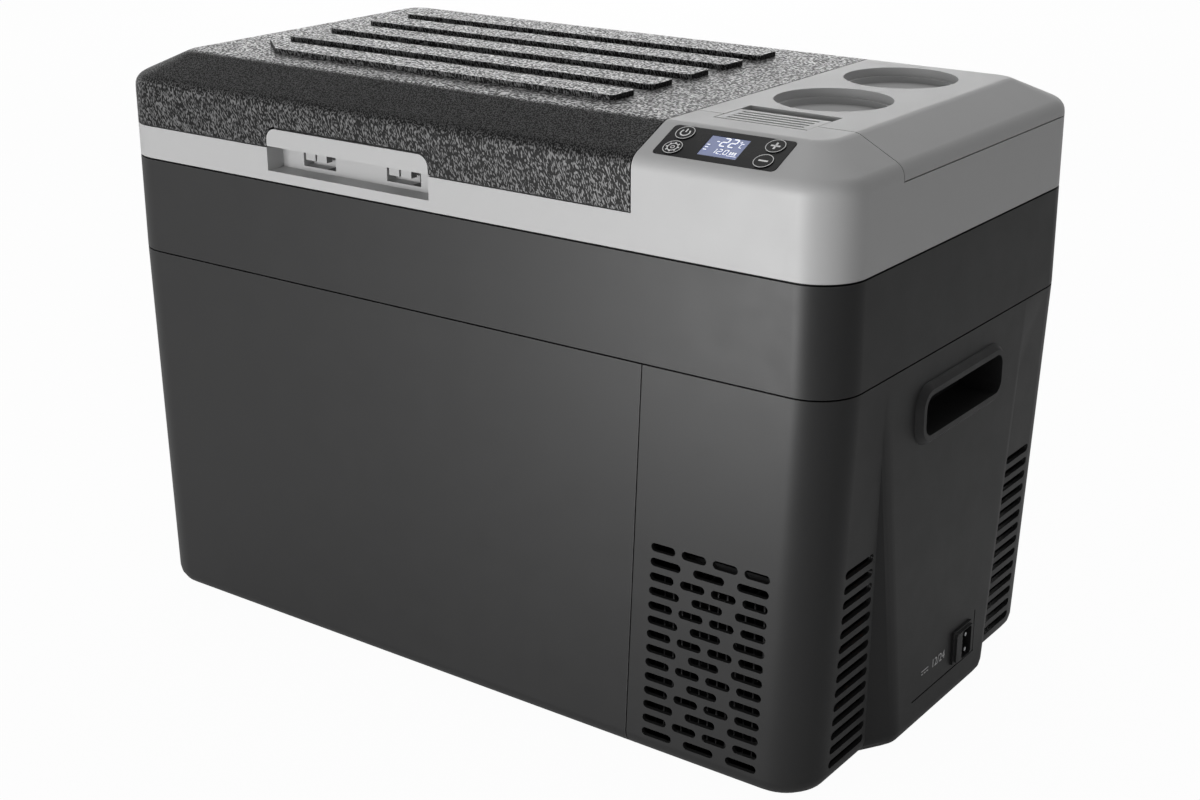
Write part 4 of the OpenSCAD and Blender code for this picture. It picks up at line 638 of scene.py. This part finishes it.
def supplyText(setup):
    bpy.ops.object.select_all(action="DESELECT")
    bpy.ops.object.text_add()
    words = bpy.context.object
    words.data.body = setup["words"]["body"]
    words.data.size = setup["words"]["size"]
    bpy.ops.object.convert(target="MESH")
    shift(words, setup["words"]["x"], 0)
    line, dash = setup["line"], setup["dash"]
    made = [words, shift(flatBar("line", *line["size"]), *line["place"])]
    x, y = dash["place"]
    for i in range(dash["count"]):
        made.append(shift(flatBar("dash", *dash["size"]), x + dash["step"] * i, y))
    return joinAll("supplySign", made)


greyPrint = mouldedPlastic("greyPrint", (0.6, 0.6, 0.6), (0.66, 0.66, 0.66), (0.66, 0.66, 0.66), (0.5, 0.6),
                           depth=0.000004)
supply = supplyText(supplySign)
thicken(supply, supplySign["thick"])
onEnd(supply, *supplySign["place"], supplySign["lift"])
settle(supply, "case", greyPrint)
print("supply sign made")

# floor, light and camera

# each sheen goes from one x to another, paler on the left and darker on the right
stageSetup = dict(size=14.0, colour=(0.82, 0.82, 0.82, 1.0), glow=0.97, wallR=3.4, wallH=2.1, ambient=0.27,
                  floorSheen=(0.15, 0.6, 0.2, 0.02), wallSheen=(-0.8, 1.4, 1.0, 0.15))
lamps = {
    "frontKey": dict(place=(-0.3, -1.9, 0.34), target=(0.02, 0, 0.3), size=(1.1, 0.6), watts=20),
    "overBack": dict(place=(-0.2, 0.95, 1.7), target=(0.05, 0, 0.4), size=(1.6, 0.9), watts=7),
    "backWash": dict(place=(-1.9, 2.6, 0.85), target=(0, 0, 0.4), size=(3.0, 1.2), watts=29),
    "frontCard": dict(place=(-0.1, -0.95, 0.03), target=(0.2, -0.159, 0.27), size=(0.3, 0.3), watts=9,
                      sheenOnly=True),
}


def raySeen(tree, direct, mirrored):  # how far a ray sees the white stage: straight, or in a reflection
    path = add(tree, "ShaderNodeLightPath")
    bent = maths(tree, "MAXIMUM", path.outputs["Is Glossy Ray"], path.outputs["Is Transmission Ray"])
    return maths(tree, "MAXIMUM", maths(tree, "MULTIPLY", path.outputs["Is Camera Ray"], direct),
                 maths(tree, "MULTIPLY", bent, mirrored))


def acrossStage(tree, limits):  # a value that changes from one x to another
    place = add(tree, "ShaderNodeSeparateXYZ")
    wire(tree, (add(tree, "ShaderNodeTexCoord").outputs["Object"], place.inputs[0]))
    return spread(tree, place.outputs["X"], *limits)


def makeFloor():
    bpy.ops.object.select_all(action="DESELECT")
    bpy.ops.mesh.primitive_plane_add(size=stageSetup["size"], location=(0, 0, 0))
    floor = bpy.context.object
    floor.name = "studioFloor"
    finish, tree, shader = newFinish("paleFloor", Base_Color=stageSetup["colour"], Roughness=0.9)
    shader.inputs["Specular IOR Level"].default_value = 0.0
    glow = add(tree, "ShaderNodeEmission", {"Color": (1, 1, 1, 1), "Strength": 1.0})
    mix = add(tree, "ShaderNodeMixShader")
    sheen = acrossStage(tree, stageSetup["floorSheen"])
    wire(tree, (raySeen(tree, stageSetup["glow"], sheen), mix.inputs["Fac"]),
         (shader.outputs[0], mix.inputs[1]), (glow.outputs[0], mix.inputs[2]),
         (mix.outputs[0], tree.nodes["Material Output"].inputs["Surface"]))
    floor.data.materials.append(finish)


def makeWall():  # a white wall all round, which the level faces mirror
    bpy.ops.object.select_all(action="DESELECT")
    bpy.ops.mesh.primitive_cylinder_add(vertices=96, radius=stageSetup["wallR"], depth=stageSetup["wallH"],
                                        end_fill_type="NOTHING", location=(0, 0, stageSetup["wallH"] / 2))
    wall = bpy.context.object
    wall.name = "studioWall"
    finish, tree, shader = newFinish("paleWall")
    tree.nodes.remove(shader)
    glow = add(tree, "ShaderNodeEmission", {"Color": (1, 1, 1, 1)})
    sheen = acrossStage(tree, stageSetup["wallSheen"])
    level = maths(tree, "MAXIMUM", raySeen(tree, 1.0, sheen), stageSetup["ambient"])
    wire(tree, (level, glow.inputs["Strength"]),
         (glow.outputs[0], tree.nodes["Material Output"].inputs["Surface"]))
    wall.data.materials.append(finish)


def makeWorld():
    world = bpy.data.worlds.new("studioWorld")
    scene.world = world
    world.use_nodes = True
    tree = world.node_tree
    light = tree.nodes["Background"]
    light.inputs["Color"].default_value = (1, 1, 1, 1)
    level = maths(tree, "MAXIMUM", raySeen(tree, 1.0, 0.0), stageSetup["ambient"])
    wire(tree, (level, light.inputs["Strength"]))


def addLamp(name, place, target, size, watts, sheenOnly=False):  # not seen by the camera itself
    data = bpy.data.lights.new(name, "AREA")
    data.shape = "RECTANGLE"
    data.size, data.size_y = size
    data.energy = watts
    lamp = bpy.data.objects.new(name, data)
    scene.collection.objects.link(lamp)
    lamp.visible_camera = False
    lamp.visible_diffuse = not sheenOnly
    lamp.location = place
    lamp.rotation_euler = (Vector(target) - Vector(place)).to_track_quat("-Z", "Y").to_euler()


def addCamera():
    view = dict(place=(0.7691, -1.0372, 0.6365), ahead=(-0.5516, 0.7689, -0.3234), lens=57.37,
                shift=(-0.0119, -0.0377))
    data = bpy.data.cameras.new("photoCamera")
    data.sensor_width = 36.0
    data.lens = view["lens"]
    data.shift_x, data.shift_y = view["shift"]
    data.clip_start = 0.01
    camera = bpy.data.objects.new("photoCamera", data)
    scene.collection.objects.link(camera)
    camera.location = view["place"]
    camera.rotation_euler = Vector(view["ahead"]).to_track_quat("-Z", "Y").to_euler()
    scene.camera = camera


makeFloor()
makeWall()
makeWorld()
for name, setup in lamps.items():
    addLamp(name, **setup)
addCamera()
scene.view_settings.view_transform = "Standard"
print("stage set")
